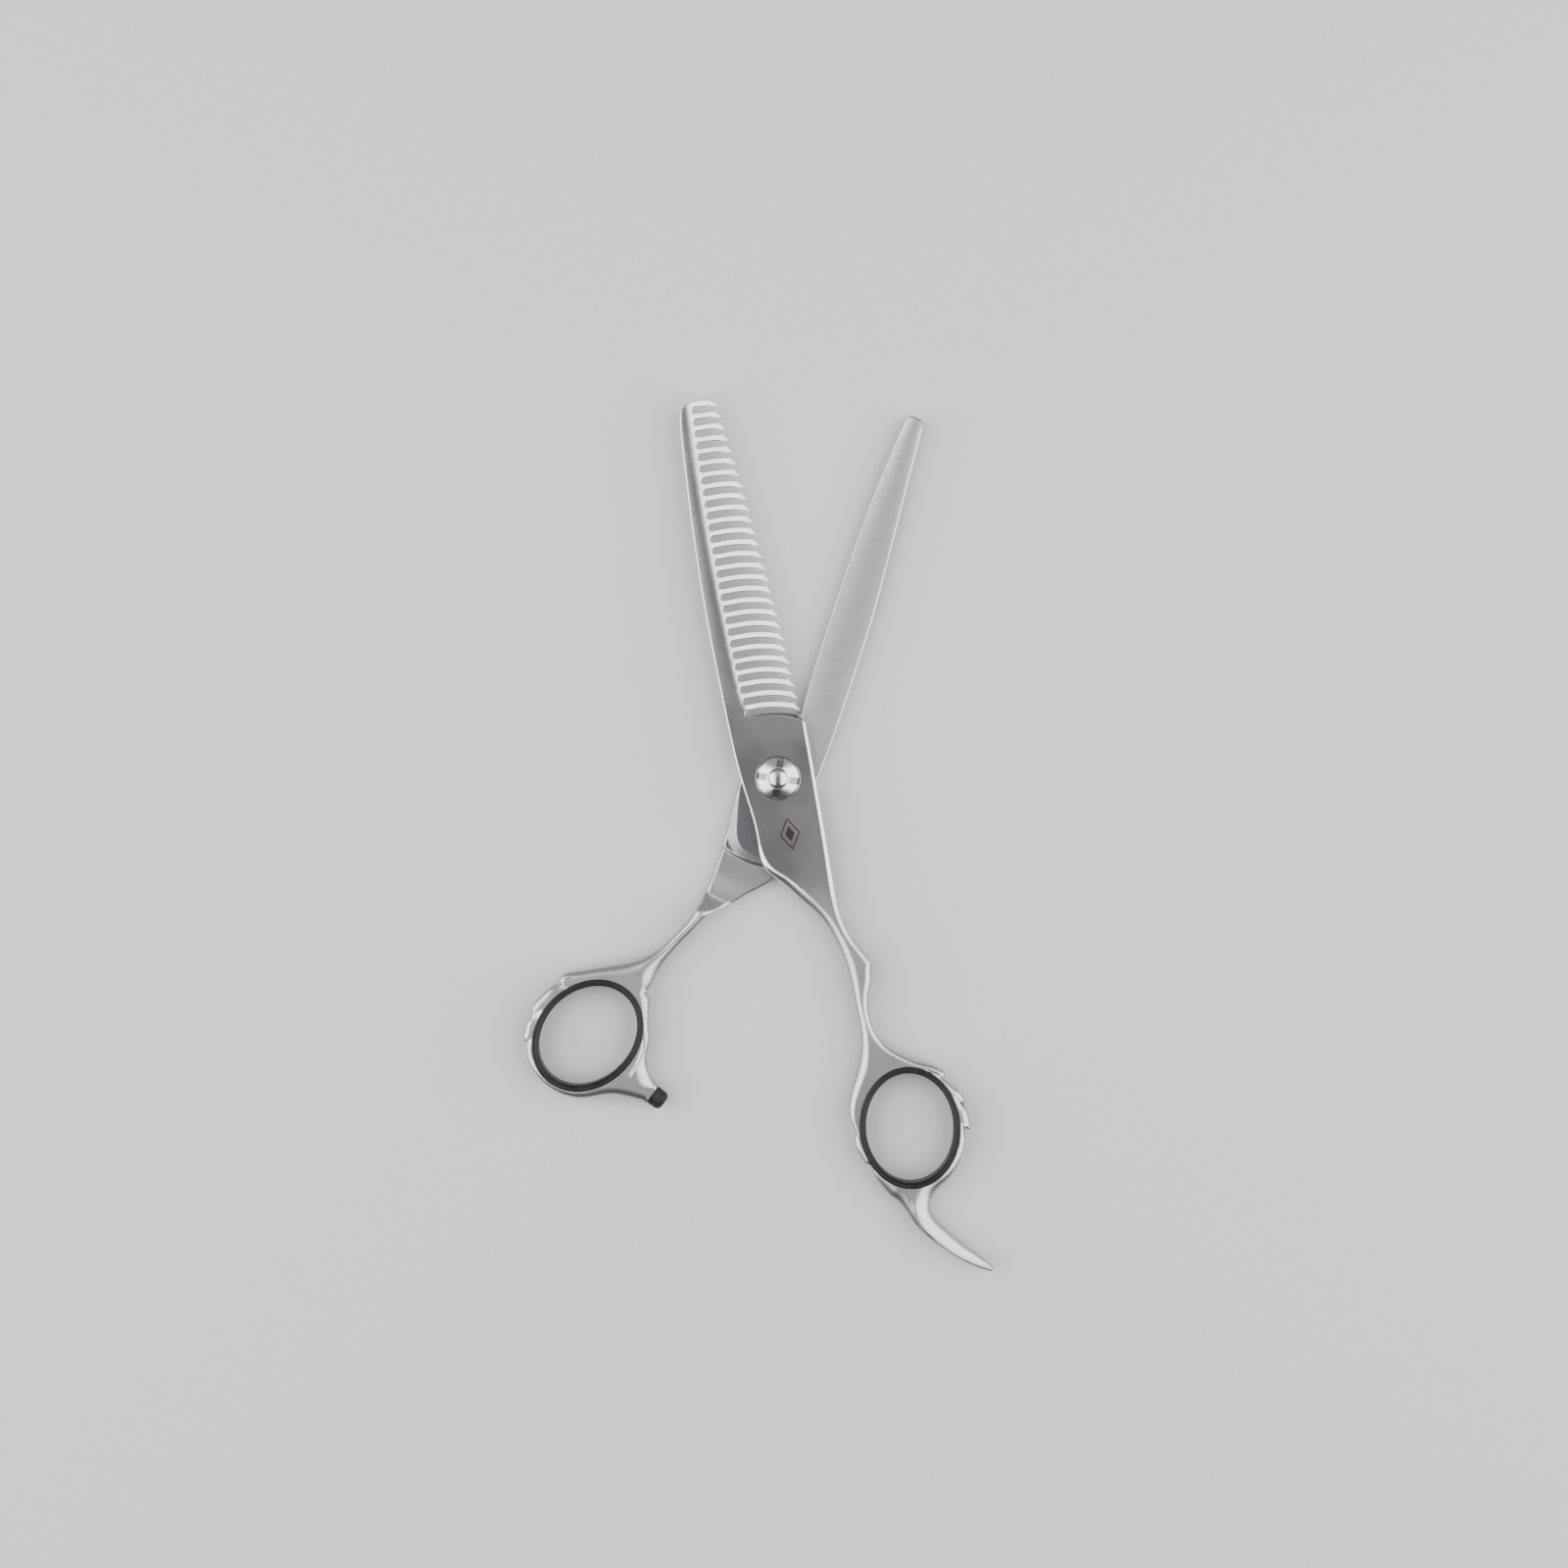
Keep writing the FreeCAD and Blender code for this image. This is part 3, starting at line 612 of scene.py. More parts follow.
def plain_ground(places):
    """Height of the plain half's top: hollow-ground blade, ride, pocket, and round shank."""
    x, y = places.T
    r = np.hypot(x, y)
    left, right = stroke_x(PLAIN_EDGE, y), stroke_x(PLAIN_SPINE, y)
    across = np.clip((x - left) / (right - left), 0, 1)
    hollow = HOLLOW_DEPTH * (1 - (2 * across - 1) ** 2) * smoothstep((y - HEEL_Y) / 8.0)
    high = PLAIN_HIGH + (SHANK_HIGH - PLAIN_HIGH) * relief_share(places)
    side, _, _ = side_of_line(RIDE_EDGE, places)
    outside = np.where((y < -1.0) & (r < 30.0), np.maximum(-side, 0.0), 0.0)
    strip = RIDE_STEP * smoothstep(outside / 0.2) + RIDE_SLOPE * np.minimum(outside, RIDE_STRIP)
    strip *= 1 - smoothstep((r - 18.0) / 6.0)
    behind = smoothstep((-y - 10.0) / 6.0)
    pocket = POCKET_DEPTH * smoothstep((r - POCKET_RADIUS + 0.5) / 1.0) * behind
    pocket *= 1 - smoothstep((r - 20.0) / 5.0)
    scroll = scroll_steps(THUMB_STEPS, places) + grooves(THUMB_GROOVES, places)
    return high - hollow - pocket - strip - scroll, np.ones(len(places))


def plain_floor(places):
    """Height of the plain half's underside: the outside of the blade, with its bevel."""
    x, y = places.T
    taper = PLAIN_TIP_RISE * tip_taper(y)
    along = np.clip((y - HEEL_Y) / (BLADE_TIP_Y - HEEL_Y), 0, 1)
    reach = stroke_x(PLAIN_EDGE, y) + 4.2 - 2.2 * along - x
    thick = PLAIN_HIGH - EDGE_LEFT - PLAIN_LOW - taper
    grind = np.minimum(soft_ramp(reach, -0.5, 0.5) * EDGE_SLOPE, thick)
    return PLAIN_LOW + taper + grind * smoothstep((y - 7.0) / 4.0), relief_share(places)


# ---- Making a plate's mesh ----

RING_SHARES = (0.04, 0.13, 0.3, 0.6, 0.93, 1.07)
CREASE_HALF_WIDTH = 0.07
SLOPE_STEP = 0.01
STEEPEST = 3.0
TOP_SPACING = 0.9
FLOOR_SPACING = 1.2
BORE_SIDES = 96


def within(places, polygon):
    """Which places lie inside a polygon."""
    inside = np.zeros(len(places), bool)
    x, y = places.T
    for (x0, y0), (x1, y1) in zip(polygon, np.roll(polygon, -1, axis=0)):
        if y0 != y1:
            spans = (y0 > y) != (y1 > y)
            inside ^= spans & (x < (x1 - x0) * (y - y0) / (y1 - y0) + x0)
    return inside


def in_metal(places, rims):
    metal = within(places, rims[0].points)
    for hole in rims[1:]:
        metal &= ~within(places, hole.points)
    return metal


def rim_distance(places, rims):
    return np.min([rim.nearest(places)[0] for rim in rims], axis=0)


def bevel_rows(rims):
    """Rows that follow the rims' bevels: places, which of them are kept, and that they close."""
    rows = []
    for rim in rims:
        width = rim.samples[:, 2]
        for share in RING_SHARES:
            step = width * share
            places = rim.points + rim.corner_normals * step[:, None]
            keep = (rim_distance(places, rims) > step * 0.93) & (width > (0.15 if share < 0.9 else 0.0))
            keep &= in_metal(places, rims)
            rows.append((places, keep, True))
    return rows


def crease_rows(creases, rims):
    """Open rows beside each crease or groove. Creases are (line, half width, number of rows)."""
    rows = []
    for line, half_width, count in creases:
        line = soft_curve(line)
        run = np.gradient(line, axis=0)
        run /= np.hypot(*run.T)[:, None]
        across = np.stack([-run[:, 1], run[:, 0]], 1) * half_width
        for shift in np.linspace(-1, 1, count):
            places = line + across * shift
            keep = in_metal(places, rims) & (rim_distance(places, rims) > 0.05)
            rows.append((places, keep, False))
    return rows


def fill_rows(rims, spacing, fine, creases):
    """Loose places between the bevels, closer together in each fine box, clear of creases."""
    rows = []
    low, high = rims[0].points.min(0), rims[0].points.max(0)
    for (x0, y0, x1, y1), gap in [((*low, *high), spacing)] + fine:
        xs, ys = np.arange(x0, x1, gap), np.arange(y0, y1, gap * 0.866)
        gx, gy = np.meshgrid(xs, ys)
        gx[1::2] += gap / 2
        grid = np.stack([gx.ravel(), gy.ravel()], 1)
        grid = grid[in_metal(grid, rims)]
        keep = np.ones(len(grid), bool)
        for rim in rims:
            distance, _, bevel = rim.nearest(grid)
            flat = distance > bevel[:, 0] * 1.07 + gap * 0.45
            keep &= flat | ((bevel[:, 0] > 0.9) & (distance > gap))
        for line, half_width, _ in creases:
            near = near_line(line, grid, half_width + gap)
            keep[near] &= side_of_line(line, grid[near])[2] > half_width + 0.3 * gap
        rows.append(grid[keep])
    return np.vstack(rows)


def triangulate(rims, rows, loose):
    """Triangles inside the rims. Returns places, faces, and each rim's vertex numbers."""
    coords, edges, spans = [], [], []
    for rim in rims:
        start = len(coords)
        count = len(rim.points)
        coords += [Vector(p) for p in rim.points]
        edges += [(start + i, start + (i + 1) % count) for i in range(count)]
        spans.append((start, count))
    for places, keep, closed in rows:
        numbers = np.where(keep, len(coords) + np.cumsum(keep) - 1, -1)
        coords += [Vector(p) for p in places[keep]]
        ahead = np.roll(numbers, -1)
        if not closed:
            ahead[-1] = -1
        edges += [(int(a), int(b)) for a, b in zip(numbers, ahead) if a >= 0 and b >= 0]
    coords += [Vector(p) for p in loose]
    places, _, faces, sources, _, _ = geometry.delaunay_2d_cdt(coords, edges, [], 0, 1e-5)
    where = {}
    for i, source in enumerate(sources):
        for s in source:
            where[s] = i
    loops = [[where[start + i] for i in range(count)] for start, count in spans]
    places = np.array([(p.x, p.y) for p in places])
    faces = np.array([list(f) for f in faces])
    faces = faces[in_metal(places[faces].mean(axis=1), rims)]
    return places, faces.tolist(), loops


def surface(rims, ground, upward, spacing, fine=(), creases=()):
    """A top or underside: vertices, triangles, corner normals, and the rims' vertex numbers.

    ground gives the height at each place, and the share of the rims' bevels that it takes."""
    rows = bevel_rows(rims) + crease_rows(creases, rims)
    places, faces, loops = triangulate(rims, rows, fill_rows(rims, spacing, list(fine), creases))
    height, share = ground(places)
    gradient = np.zeros((len(places), 2))
    for axis in (0, 1):
        step = np.zeros(2)
        step[axis] = SLOPE_STEP
        rise = ground(places + step)[0] - ground(places - step)[0]
        gradient[:, axis] = np.clip(rise / (2 * SLOPE_STEP), -STEEPEST, STEEPEST)
    sign = 1 if upward else -1
    for rim in rims:
        for side in np.unique(rim.sides):
            distance, direction, bevel = rim.nearest(places, side)
            drop, slope = bevel_drop(distance, bevel)
            height = height - sign * drop * share
            gradient += sign * (slope * share)[:, None] * direction
    normals = np.hstack([-gradient, np.ones((len(places), 1))]) * sign
    normals /= np.linalg.norm(normals, axis=1)[:, None]
    if not upward:
        faces = [face[::-1] for face in faces]
    return np.hstack([places, height[:, None]]), faces, normals, loops


class Shell:
    """Vertices, faces and corner normals, gathered into one closed mesh."""

    def __init__(self):
        self.vertices, self.faces, self.normals = [], [], []

    def add_surface(self, vertices, faces, normals, loops):
        """Adds a surface, and returns its rims' vertex numbers in the whole shell."""
        start = len(self.vertices)
        self.vertices += [tuple(v) for v in vertices]
        for face in faces:
            self.faces.append([start + i for i in face])
            self.normals += [tuple(normals[i]) for i in face]
        return [[start + i for i in loop] for loop in loops]

    def add_loop(self, points, height):
        start = len(self.vertices)
        self.vertices += [(x, y, height) for x, y in points]
        return list(range(start, start + len(points)))

    def add_wall(self, upper, lower, rim):
        """The side of the metal between two rows of vertices that follow a rim."""
        count = len(upper)
        for i in range(count):
            j = (i + 1) % count
            self.faces.append([upper[i], lower[i], lower[j], upper[j]])
            out_i, out_j = -rim.start_normals[i], -rim.end_normals[i]
            self.normals += [(*out_i, 0), (*out_i, 0), (*out_j, 0), (*out_j, 0)]

    def add_band(self, outer, inner, normal):
        """A flat ring between two rows of vertices."""
        count = len(outer)
        for i in range(count):
            j = (i + 1) % count
            self.faces.append([outer[i], inner[i], inner[j], outer[j]])
            self.normals += [normal] * 4

    def mesh(self, name, turn=0.0):
        turned = Matrix.Rotation(turn, 3, "Z")
        mesh = bpy.data.meshes.new(name)
        mesh.from_pydata([turned @ Vector(v) * MM for v in self.vertices], [], self.faces)
        mesh.shade_smooth()
        mesh.normals_split_custom_set([turned @ Vector(n) for n in self.normals])
        return mesh


def make_plate(name, outer, hole, ground, floor, top_bore, floor_bore, turn, fine, creases):
    """A blade with its shank and ring, cut by the ring's hole and a stepped bore on the pivot.

    top_bore is (radius, height of its floor), and floor_bore the same from below."""
    pivot = (0.0, 0.0, 0.0)
    radius, top_step = top_bore
    upper = [outer, hole, oval_rim(pivot, radius, radius, BORE_SIDES, (0.05, 0.03, 0.0))]
    radius, floor_step = floor_bore
    lower = [outer, hole, oval_rim(pivot, radius, radius, BORE_SIDES, (0.05, 0.04, 0.0))]
    shell = Shell()
    upper_loops = shell.add_surface(*surface(upper, ground, True, TOP_SPACING, fine, creases))
    lower_loops = shell.add_surface(*surface(lower, floor, False, FLOOR_SPACING))
    for k in (0, 1):
        shell.add_wall(upper_loops[k], lower_loops[k], upper[k])
    key = oval_rim(pivot, KEY_RADIUS, KEY_RADIUS, BORE_SIDES)
    step = shell.add_loop(upper[2].points, top_step)
    shell.add_wall(upper_loops[2], step, upper[2])
    row = shell.add_loop(key.points, top_step)
    shell.add_band(step, row, (0, 0, 1))
    end = lower_loops[2]
    if radius > KEY_RADIUS:
        step = shell.add_loop(lower[2].points, floor_step)
        shell.add_wall(step, end, lower[2])
        end = shell.add_loop(key.points, floor_step)
        shell.add_band(end, step, (0, 0, -1))
    shell.add_wall(row, end, key)
    return new_piece(name, shell.mesh(name, turn))


def new_piece(name, mesh):
    piece = bpy.data.objects.new(name, mesh)
    bpy.context.scene.collection.objects.link(piece)
    return piece


def swept_piece(name, rows, sharp_above):
    """A closed, smooth piece through rows of places, each row a loop, or one place at an axis.

    It is sharp at the edges that turn by more than sharp_above degrees."""
    count = max(len(row) for row in rows)
    vertices, numbers, faces = [], [], []
    for row in rows:
        numbers.append([len(vertices) + i % len(row) for i in range(count)])
        vertices += [place * MM for place in row]
    for low, high in zip(numbers, numbers[1:] + numbers[:1]):
        for i in range(count):
            j = (i + 1) % count
            corners = [low[i], low[j], high[j], high[i]]
            corners = [c for k, c in enumerate(corners) if c not in corners[:k]]
            if len(corners) > 2:
                faces.append(corners)
    mesh = bpy.data.meshes.new(name)
    mesh.from_pydata(vertices, [], faces)
    mesh.shade_smooth()
    mesh.set_sharp_from_angle(angle=math.radians(sharp_above))
    return new_piece(name, mesh)


def turns(count):
    """Evenly spaced angles, all the way round."""
    return [2 * math.pi * i / count for i in range(count)]


def lathe(name, profile, count, matrix):
    """A solid of revolution about Z, from a closed profile of (radius, height), then moved."""
    rows = []
    for radius, height in profile:
        angles = turns(count if radius > 0 else 1)
        row = [Vector((radius * math.cos(a), radius * math.sin(a), height)) for a in angles]
        rows.append([matrix @ place for place in row])
    return swept_piece(name, rows, 35.0)


def arc(centre, radius, start, end, steps):
    """Points on an arc of a profile, angles in degrees from its radius axis."""
    angles = [math.radians(start + (end - start) * i / steps) for i in range(steps + 1)]
    return [(centre[0] + radius * math.cos(a), centre[1] + radius * math.sin(a)) for a in angles]


# ---- The pieces ----

def scroll_creases(steps, lines):
    """Creases that keep the mesh lined up with the scrollwork's overlaps and the grooves."""
    overlaps = [(line, CREASE_HALF_WIDTH, 2) for line, _ in steps]
    return overlaps + [(line, half_width, 7) for line, _, half_width in lines]


def make_comb_half():
    ring = oval_rim(FINGER_RING, RING_HALF_LONG, RING_HALF_SHORT)
    shoulder = [(x, comb_shoulder(x)) for x in (-3.6, -1.0, 1.5, 4.0, 6.5)]
    creases = [(shoulder, CREASE_HALF_WIDTH, 2), *scroll_creases(FINGER_STEPS, FINGER_GROOVES)]
    fine = [((-8.0, 7.5, 7.5, 13.0), 0.35), ((0.0, -98.0, 24.0, -22.0), 0.36),
            ((8.0, -92.0, 13.5, -80.5), 0.2), ((15.5, -72.0, 23.0, -57.0), 0.2),
            ((2.0, -82.0, 7.5, -72.0), 0.25)]
    piece = make_plate("comb_half_steel", comb_rim(), ring, comb_ground, comb_floor,
                       (COUNTERBORE_RADIUS, COUNTERBORE_FLOOR), (KEY_RADIUS, 0.0), 0.0,
                       fine, creases)
    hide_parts("toothed_blade", "finger_handle")
    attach(piece, "comb_half")
    return piece


def make_plain_half():
    ring = oval_rim(THUMB_RING, RING_HALF_LONG, RING_HALF_SHORT)
    pocket = arc((0, 0), POCKET_RADIUS, -112, -66, 8)
    creases = [(RIDE_EDGE, 0.2, 3), (pocket, 0.5, 4), *scroll_creases(THUMB_STEPS, THUMB_GROOVES)]
    fine = [((-30.0, -70.0, 0.0, -30.0), 0.36), ((-8.0, -30.0, 4.0, -1.0), 0.3),
            ((-11.0, -63.0, -5.0, -46.0), 0.2), ((-29.0, -63.0, -21.5, -46.5), 0.22)]
    piece = make_plate("plain_half_steel", plain_rim(), ring, plain_ground, plain_floor,
                       (GLIDE_SEAT_RADIUS, GLIDE_SEAT_FLOOR), (HEAD_SEAT_RADIUS, HEAD_SEAT_TOP),
                       -OPEN_ANGLE, fine, creases)
    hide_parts("plain_blade", "thumb_handle")
    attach(piece, "plain_half")
    return piece


def make_insert(name, ring, turn, node, body):
    """A soft liner: a lip with rounded edges over each face of the steel ring."""
    top, bottom = INSERT_HIGH, INSERT_LOW
    upper = [(-INSERT_WALL, top - 0.3), (-0.74, top - 0.12), (-0.64, top - 0.03), (-0.52, top),
             (-0.4, top - 0.03), (-0.3, top - 0.12), (-0.18, top - 0.14), (0.0, top - 0.06),
             (0.15, top - 0.06), (0.37, top - 0.13), (LIP, top - 0.24), (LIP, top - 0.4)]
    seat = [(0.0, top - 0.4), (0.0, bottom + 0.4)]
    lower = [(o, bottom + top - z) for o, z in reversed(upper)]
    middle = [(-INSERT_WALL, bottom + 1.2), (-INSERT_WALL, top - 1.2)]
    turned = Matrix.Rotation(turn, 3, "Z")
    rows = []
    for out, height in reversed(upper + seat + lower + middle):
        places = [ring_place(ring, (RING_HALF_SHORT + out) * math.cos(a),
                             (RING_HALF_LONG + out) * math.sin(a)) for a in turns(200)]
        rows.append([turned @ Vector((*place, height)) for place in places])
    piece = swept_piece(name, rows, 50.0)
    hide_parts(node)
    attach(piece, body)
    return piece


def make_bumper():
    """A round rubber stop on a stem, square to the end face of the thumb ring's post."""
    start, end = Vector(THUMB_POST[0][:2]), Vector(THUMB_POST[-1][:2])
    middle, along = (start + end) / 2, (end - start).normalized()
    out = Vector((along.y, -along.x, 0))
    across = Vector((along.x, along.y, 0))
    axes = Matrix((across, out.cross(across), out)).transposed().to_4x4()
    height = (SHANK_LOW + SHANK_HIGH) / 2
    place = Matrix.Translation((middle.x, middle.y, height)) @ axes
    turned = Matrix.Rotation(-OPEN_ANGLE, 4, "Z")
    profile = [(0.0, -1.5), (0.9, -1.5), (0.9, 0.0), (1.72, 0.0), (1.82, 0.12), (1.85, 0.4),
               (1.8, 0.9), (1.8, 1.2), *arc((0.75, 1.68), 1.05, 0, 78, 8), (0.0, 2.73)]
    piece = lathe("bumper_rubber", profile, 96, turned @ place)
    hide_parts("bumper")
    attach(piece, "plain_half")
    return piece


def make_stud():
    """The pivot stud: a wide flat head below, and a domed threaded end in the dial."""
    top = STUD_HIGH
    thread = []
    for i in range(4):
        low = 4.75 + THREAD_PITCH * i
        thread += [(1.7, low), (1.58, low + THREAD_PITCH / 2)]
    profile = [(0.0, 0.0), (0.6, 0.0), (3.95, 0.0), (4.1, 0.04), (4.17, 0.1), (4.2, 0.2),
               (4.2, 0.9), (2.5, 0.9), (2.5, 2.6), (2.2, 2.6), (2.2, 4.65), (1.7, 4.65), *thread,
               (1.7, 5.77), *arc((0.0, top - DOME_RADIUS), DOME_RADIUS, 70, 87, 6), (0.0, top)]
    piece = lathe("pivot_stud_steel", profile, 128, Matrix.Rotation(-OPEN_ANGLE, 4, "Z"))
    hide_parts("pivot_stud")
    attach(piece, "plain_half")
    return piece


def make_dial():
    """A low cone with four square notches round it."""
    low, high = DIAL_LOW, DIAL_HIGH
    profile = [(1.73, low), (3.78, low), (3.88, low + 0.06), (3.9, low + 0.15), (3.9, low + 0.24),
               (3.84, low + 0.3), (3.7, low + 0.37), (2.9, low + 0.66), (1.95, high + 0.05),
               (1.88, high + 0.06), (1.8, high + 0.02), (1.73, high - 0.12)]
    piece = lathe("tension_dial_steel", profile, 192, Matrix())
    cuts = [(NOTCH_INNER, NOTCH_FLOOR, NOTCH_SLOPE), (NOTCH_OPEN, low - 0.1, 0.0)]
    for index in range(2 * NOTCH_COUNT):
        inner, floor, slope = cuts[index // NOTCH_COUNT]
        turned = Matrix.Rotation(math.radians(360.0 / NOTCH_COUNT * index - DIAL_LEAN), 4, "Z")
        bpy.ops.mesh.primitive_cube_add(size=1.0)
        cutter = bpy.context.object
        size = Matrix.Diagonal((NOTCH_WIDTH * MM, 3.0 * MM, 2.0 * MM, 1.0))
        tip = Matrix.Rotation(math.radians(-slope), 4, "X")
        place = Matrix.Translation((0, inner * MM, floor * MM)) @ tip
        place = place @ Matrix.Translation((0, 1.5 * MM, 1.0 * MM))
        cutter.matrix_world = turned @ place @ size
        cut = piece.modifiers.new("notch", "BOOLEAN")
        cut.object = cutter
        cut.operation = "DIFFERENCE"
        bpy.context.view_layer.update()
        graph = bpy.context.evaluated_depsgraph_get()
        mesh = bpy.data.meshes.new_from_object(piece.evaluated_get(graph))
        piece.modifiers.clear()
        piece.data = mesh
        bpy.data.objects.remove(cutter)
    piece.data.shade_smooth()
    piece.data.set_sharp_from_angle(angle=math.radians(20))
    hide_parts("tension_dial")
    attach(piece, "dial")
    return piece


# ---- Materials ----

def colour(red, green, blue):
    return (red, green, blue, 1.0)


STEEL_LIGHT = colour(0.67, 0.645, 0.635)
STEEL_DARK = colour(0.6, 0.575, 0.565)
SATIN_LIGHT = colour(0.53, 0.507, 0.497)
SATIN_DARK = colour(0.46, 0.442, 0.433)
MARK_COLOUR = colour(0.03, 0.017, 0.014)
# A darker tint painted into the dial's notches as shade.
NOTCH_PAINTED_SHADE = colour(0.24, 0.225, 0.215)


class Nodes:
    """A short way to write a node tree."""

    def __init__(self, tree):
        self.tree = tree

    def put(self, socket, value):
        """Links a node's output to a socket, or sets the socket to a plain value."""
        if hasattr(value, "links"):
            self.tree.links.new(value, socket)
        else:
            socket.default_value = value

    def add(self, kind, inputs=(), **settings):
        """A new node, with its settings and with values for some of its inputs."""
        node = self.tree.nodes.new(kind)
        for key, value in settings.items():
            setattr(node, key, value)
        for key, value in dict(inputs).items():
            self.put(node.inputs[key], value)
        return node

    def math(self, operation, *values):
        return self.add("ShaderNodeMath", enumerate(values), operation=operation).outputs[0]

    def ramp(self, value, start, end, low=0.0, high=1.0):
        """A smooth step from low, where the value is start, to high, where it is end."""
        inputs = enumerate((value, start, end, low, high))
        return self.add("ShaderNodeMapRange", inputs, interpolation_type="SMOOTHSTEP").outputs[0]

    def axes(self, vector):
        return self.add("ShaderNodeSeparateXYZ", {0: vector}).outputs

    def mix(self, share, first, second, kind="RGBA"):
        inputs = {"Factor": share, "A": first, "B": second}
        return self.add("ShaderNodeMix", inputs, data_type=kind).outputs["Result"]


class Skin(Nodes):
    """The nodes of one material."""

    def __init__(self, name):
        self.material = bpy.data.materials.new(name)
        self.material.use_nodes = True
        super().__init__(self.material.node_tree)
        self.shader = self.tree.nodes["Principled BSDF"]
        self.place = self.add("ShaderNodeTexCoord").outputs["Object"]

    def noise(self, scale, detail, stretch=(1, 1, 1), turn=0.0):
        inputs = {"Vector": self.place, "Rotation": (0, 0, turn), "Scale": stretch}
        moved = self.add("ShaderNodeMapping", inputs).outputs[0]
        inputs = {"Vector": moved, "Scale": scale, "Detail": detail}
        return self.add("ShaderNodeTexNoise", inputs).outputs[0]

    def bump(self, height, distance, strength):
        inputs = {"Height": height, "Distance": distance, "Strength": strength}
        self.put(self.shader.inputs["Normal"], self.add("ShaderNodeBump", inputs).outputs[0])

    def finish(self, tint, metallic, roughness):
        self.put(self.shader.inputs["Base Color"], tint)
        self.put(self.shader.inputs["Metallic"], metallic)
        self.put(self.shader.inputs["Roughness"], roughness)
        return self.material


def bearing_metal(name, base, dark, roughness):
    """Metal with fine grinding lines, faint smears, and a roughness that varies."""
    nodes = Skin(name)
    lines = nodes.noise(60.0, 4.0, (60, 6, 60))
    smears = nodes.noise(90.0, 4.0)
    tint = nodes.mix(nodes.math("MULTIPLY", smears, 0.8), base, dark)
    wear = nodes.math("MULTIPLY", nodes.math("ADD", lines, smears), 0.5)
    nodes.bump(lines, 1e-6, 0.5)
    return nodes.finish(tint, 1.0, nodes.ramp(wear, 0.3, 0.7, roughness * 0.85, roughness * 1.2))


def etched_mark(nodes, place):
    """1 on a small diamond with a solid heart, etched on the comb half's plate."""
    spread = []
    for axis, middle, size in zip("XY", MARK_PLACE, MARK_SIZE):
        away = nodes.math("ABSOLUTE", nodes.math("SUBTRACT", place[axis], middle * MM))
        spread.append(nodes.math("DIVIDE", away, size * MM))
    spread = nodes.math("ADD", *spread)
    border = nodes.math("ABSOLUTE", nodes.math("SUBTRACT", spread, 0.92))
    border = nodes.ramp(border, 0.1, 0.07)
    heart = nodes.ramp(spread, 0.52, 0.46)
    top = nodes.math("GREATER_THAN", place["Z"], (COMB_HIGH - 0.1) * MM)
    return nodes.math("MULTIPLY", nodes.math("MAXIMUM", border, heart), top)


def comb_steel():
    """The comb half: a polished blade and plate, a satin handle, and a mark on the plate."""
    nodes = Skin("comb_steel")
    place = nodes.axes(nodes.place)
    satin = nodes.ramp(place["Y"], -16.0 * MM, -30.0 * MM)
    lines = nodes.noise(60.0, 4.0, (6, 80, 6))
    brushed = nodes.noise(220.0, 5.0)
    smears = nodes.noise(80.0, 4.0)
    mark = etched_mark(nodes, place)
    tint = nodes.mix(satin, nodes.mix(smears, STEEL_LIGHT, STEEL_DARK),
                     nodes.mix(smears, SATIN_LIGHT, SATIN_DARK))
    tint = nodes.mix(nodes.math("MULTIPLY", mark, 0.93), tint, MARK_COLOUR)
    rough = nodes.mix(satin, nodes.ramp(smears, 0.3, 0.7, 0.19, 0.23),
                      nodes.ramp(smears, 0.3, 0.7, 0.27, 0.32), "FLOAT")
    rough = nodes.math("ADD", rough, nodes.math("MULTIPLY", mark, 0.12))
    nodes.bump(nodes.mix(satin, lines, brushed, "FLOAT"), 2e-6, 0.5)
    return nodes.finish(tint, 1.0, rough)


def plain_steel():
    """The plain half: a ground blade and a satin handle, and a polished flat that rides."""
    nodes = Skin("plain_steel")
    inputs = {"Vector": nodes.place, "Angle": OPEN_ANGLE}
    turned = nodes.add("ShaderNodeVectorRotate", inputs, rotation_type="Z_AXIS")
    place = nodes.axes(turned.outputs[0])
    distance = nodes.add("ShaderNodeVectorMath", {0: nodes.place}, operation="LENGTH")
    near = nodes.ramp(distance.outputs["Value"], (POCKET_RADIUS + 0.3) * MM,
                      (POCKET_RADIUS - 0.3) * MM)
    ride = nodes.math("MULTIPLY", near, nodes.ramp(place["Y"], -1.0 * MM, -4.0 * MM))
    wheel = nodes.noise(60.0, 5.0, (3, 95, 3), OPEN_ANGLE)
    smears = nodes.noise(80.0, 4.0)
    blade = nodes.ramp(place["Y"], -4.0 * MM, 0.0)
    satin_tint = nodes.mix(smears, SATIN_LIGHT, SATIN_DARK)
    blade_tint = nodes.mix(nodes.ramp(wheel, 0.3, 0.7), colour(0.56, 0.535, 0.53),
                           colour(0.48, 0.458, 0.458))
    ride_tint = nodes.mix(smears, colour(0.6, 0.6, 0.63), colour(0.52, 0.52, 0.55))
    tint = nodes.mix(ride, nodes.mix(blade, satin_tint, blade_tint), ride_tint)
    rough = nodes.mix(blade, nodes.ramp(smears, 0.3, 0.7, 0.27, 0.32), 0.34, "FLOAT")
    rough = nodes.mix(ride, rough, 0.2, "FLOAT")
    nodes.bump(wheel, 4e-6, 0.6)
    return nodes.finish(tint, 1.0, rough)


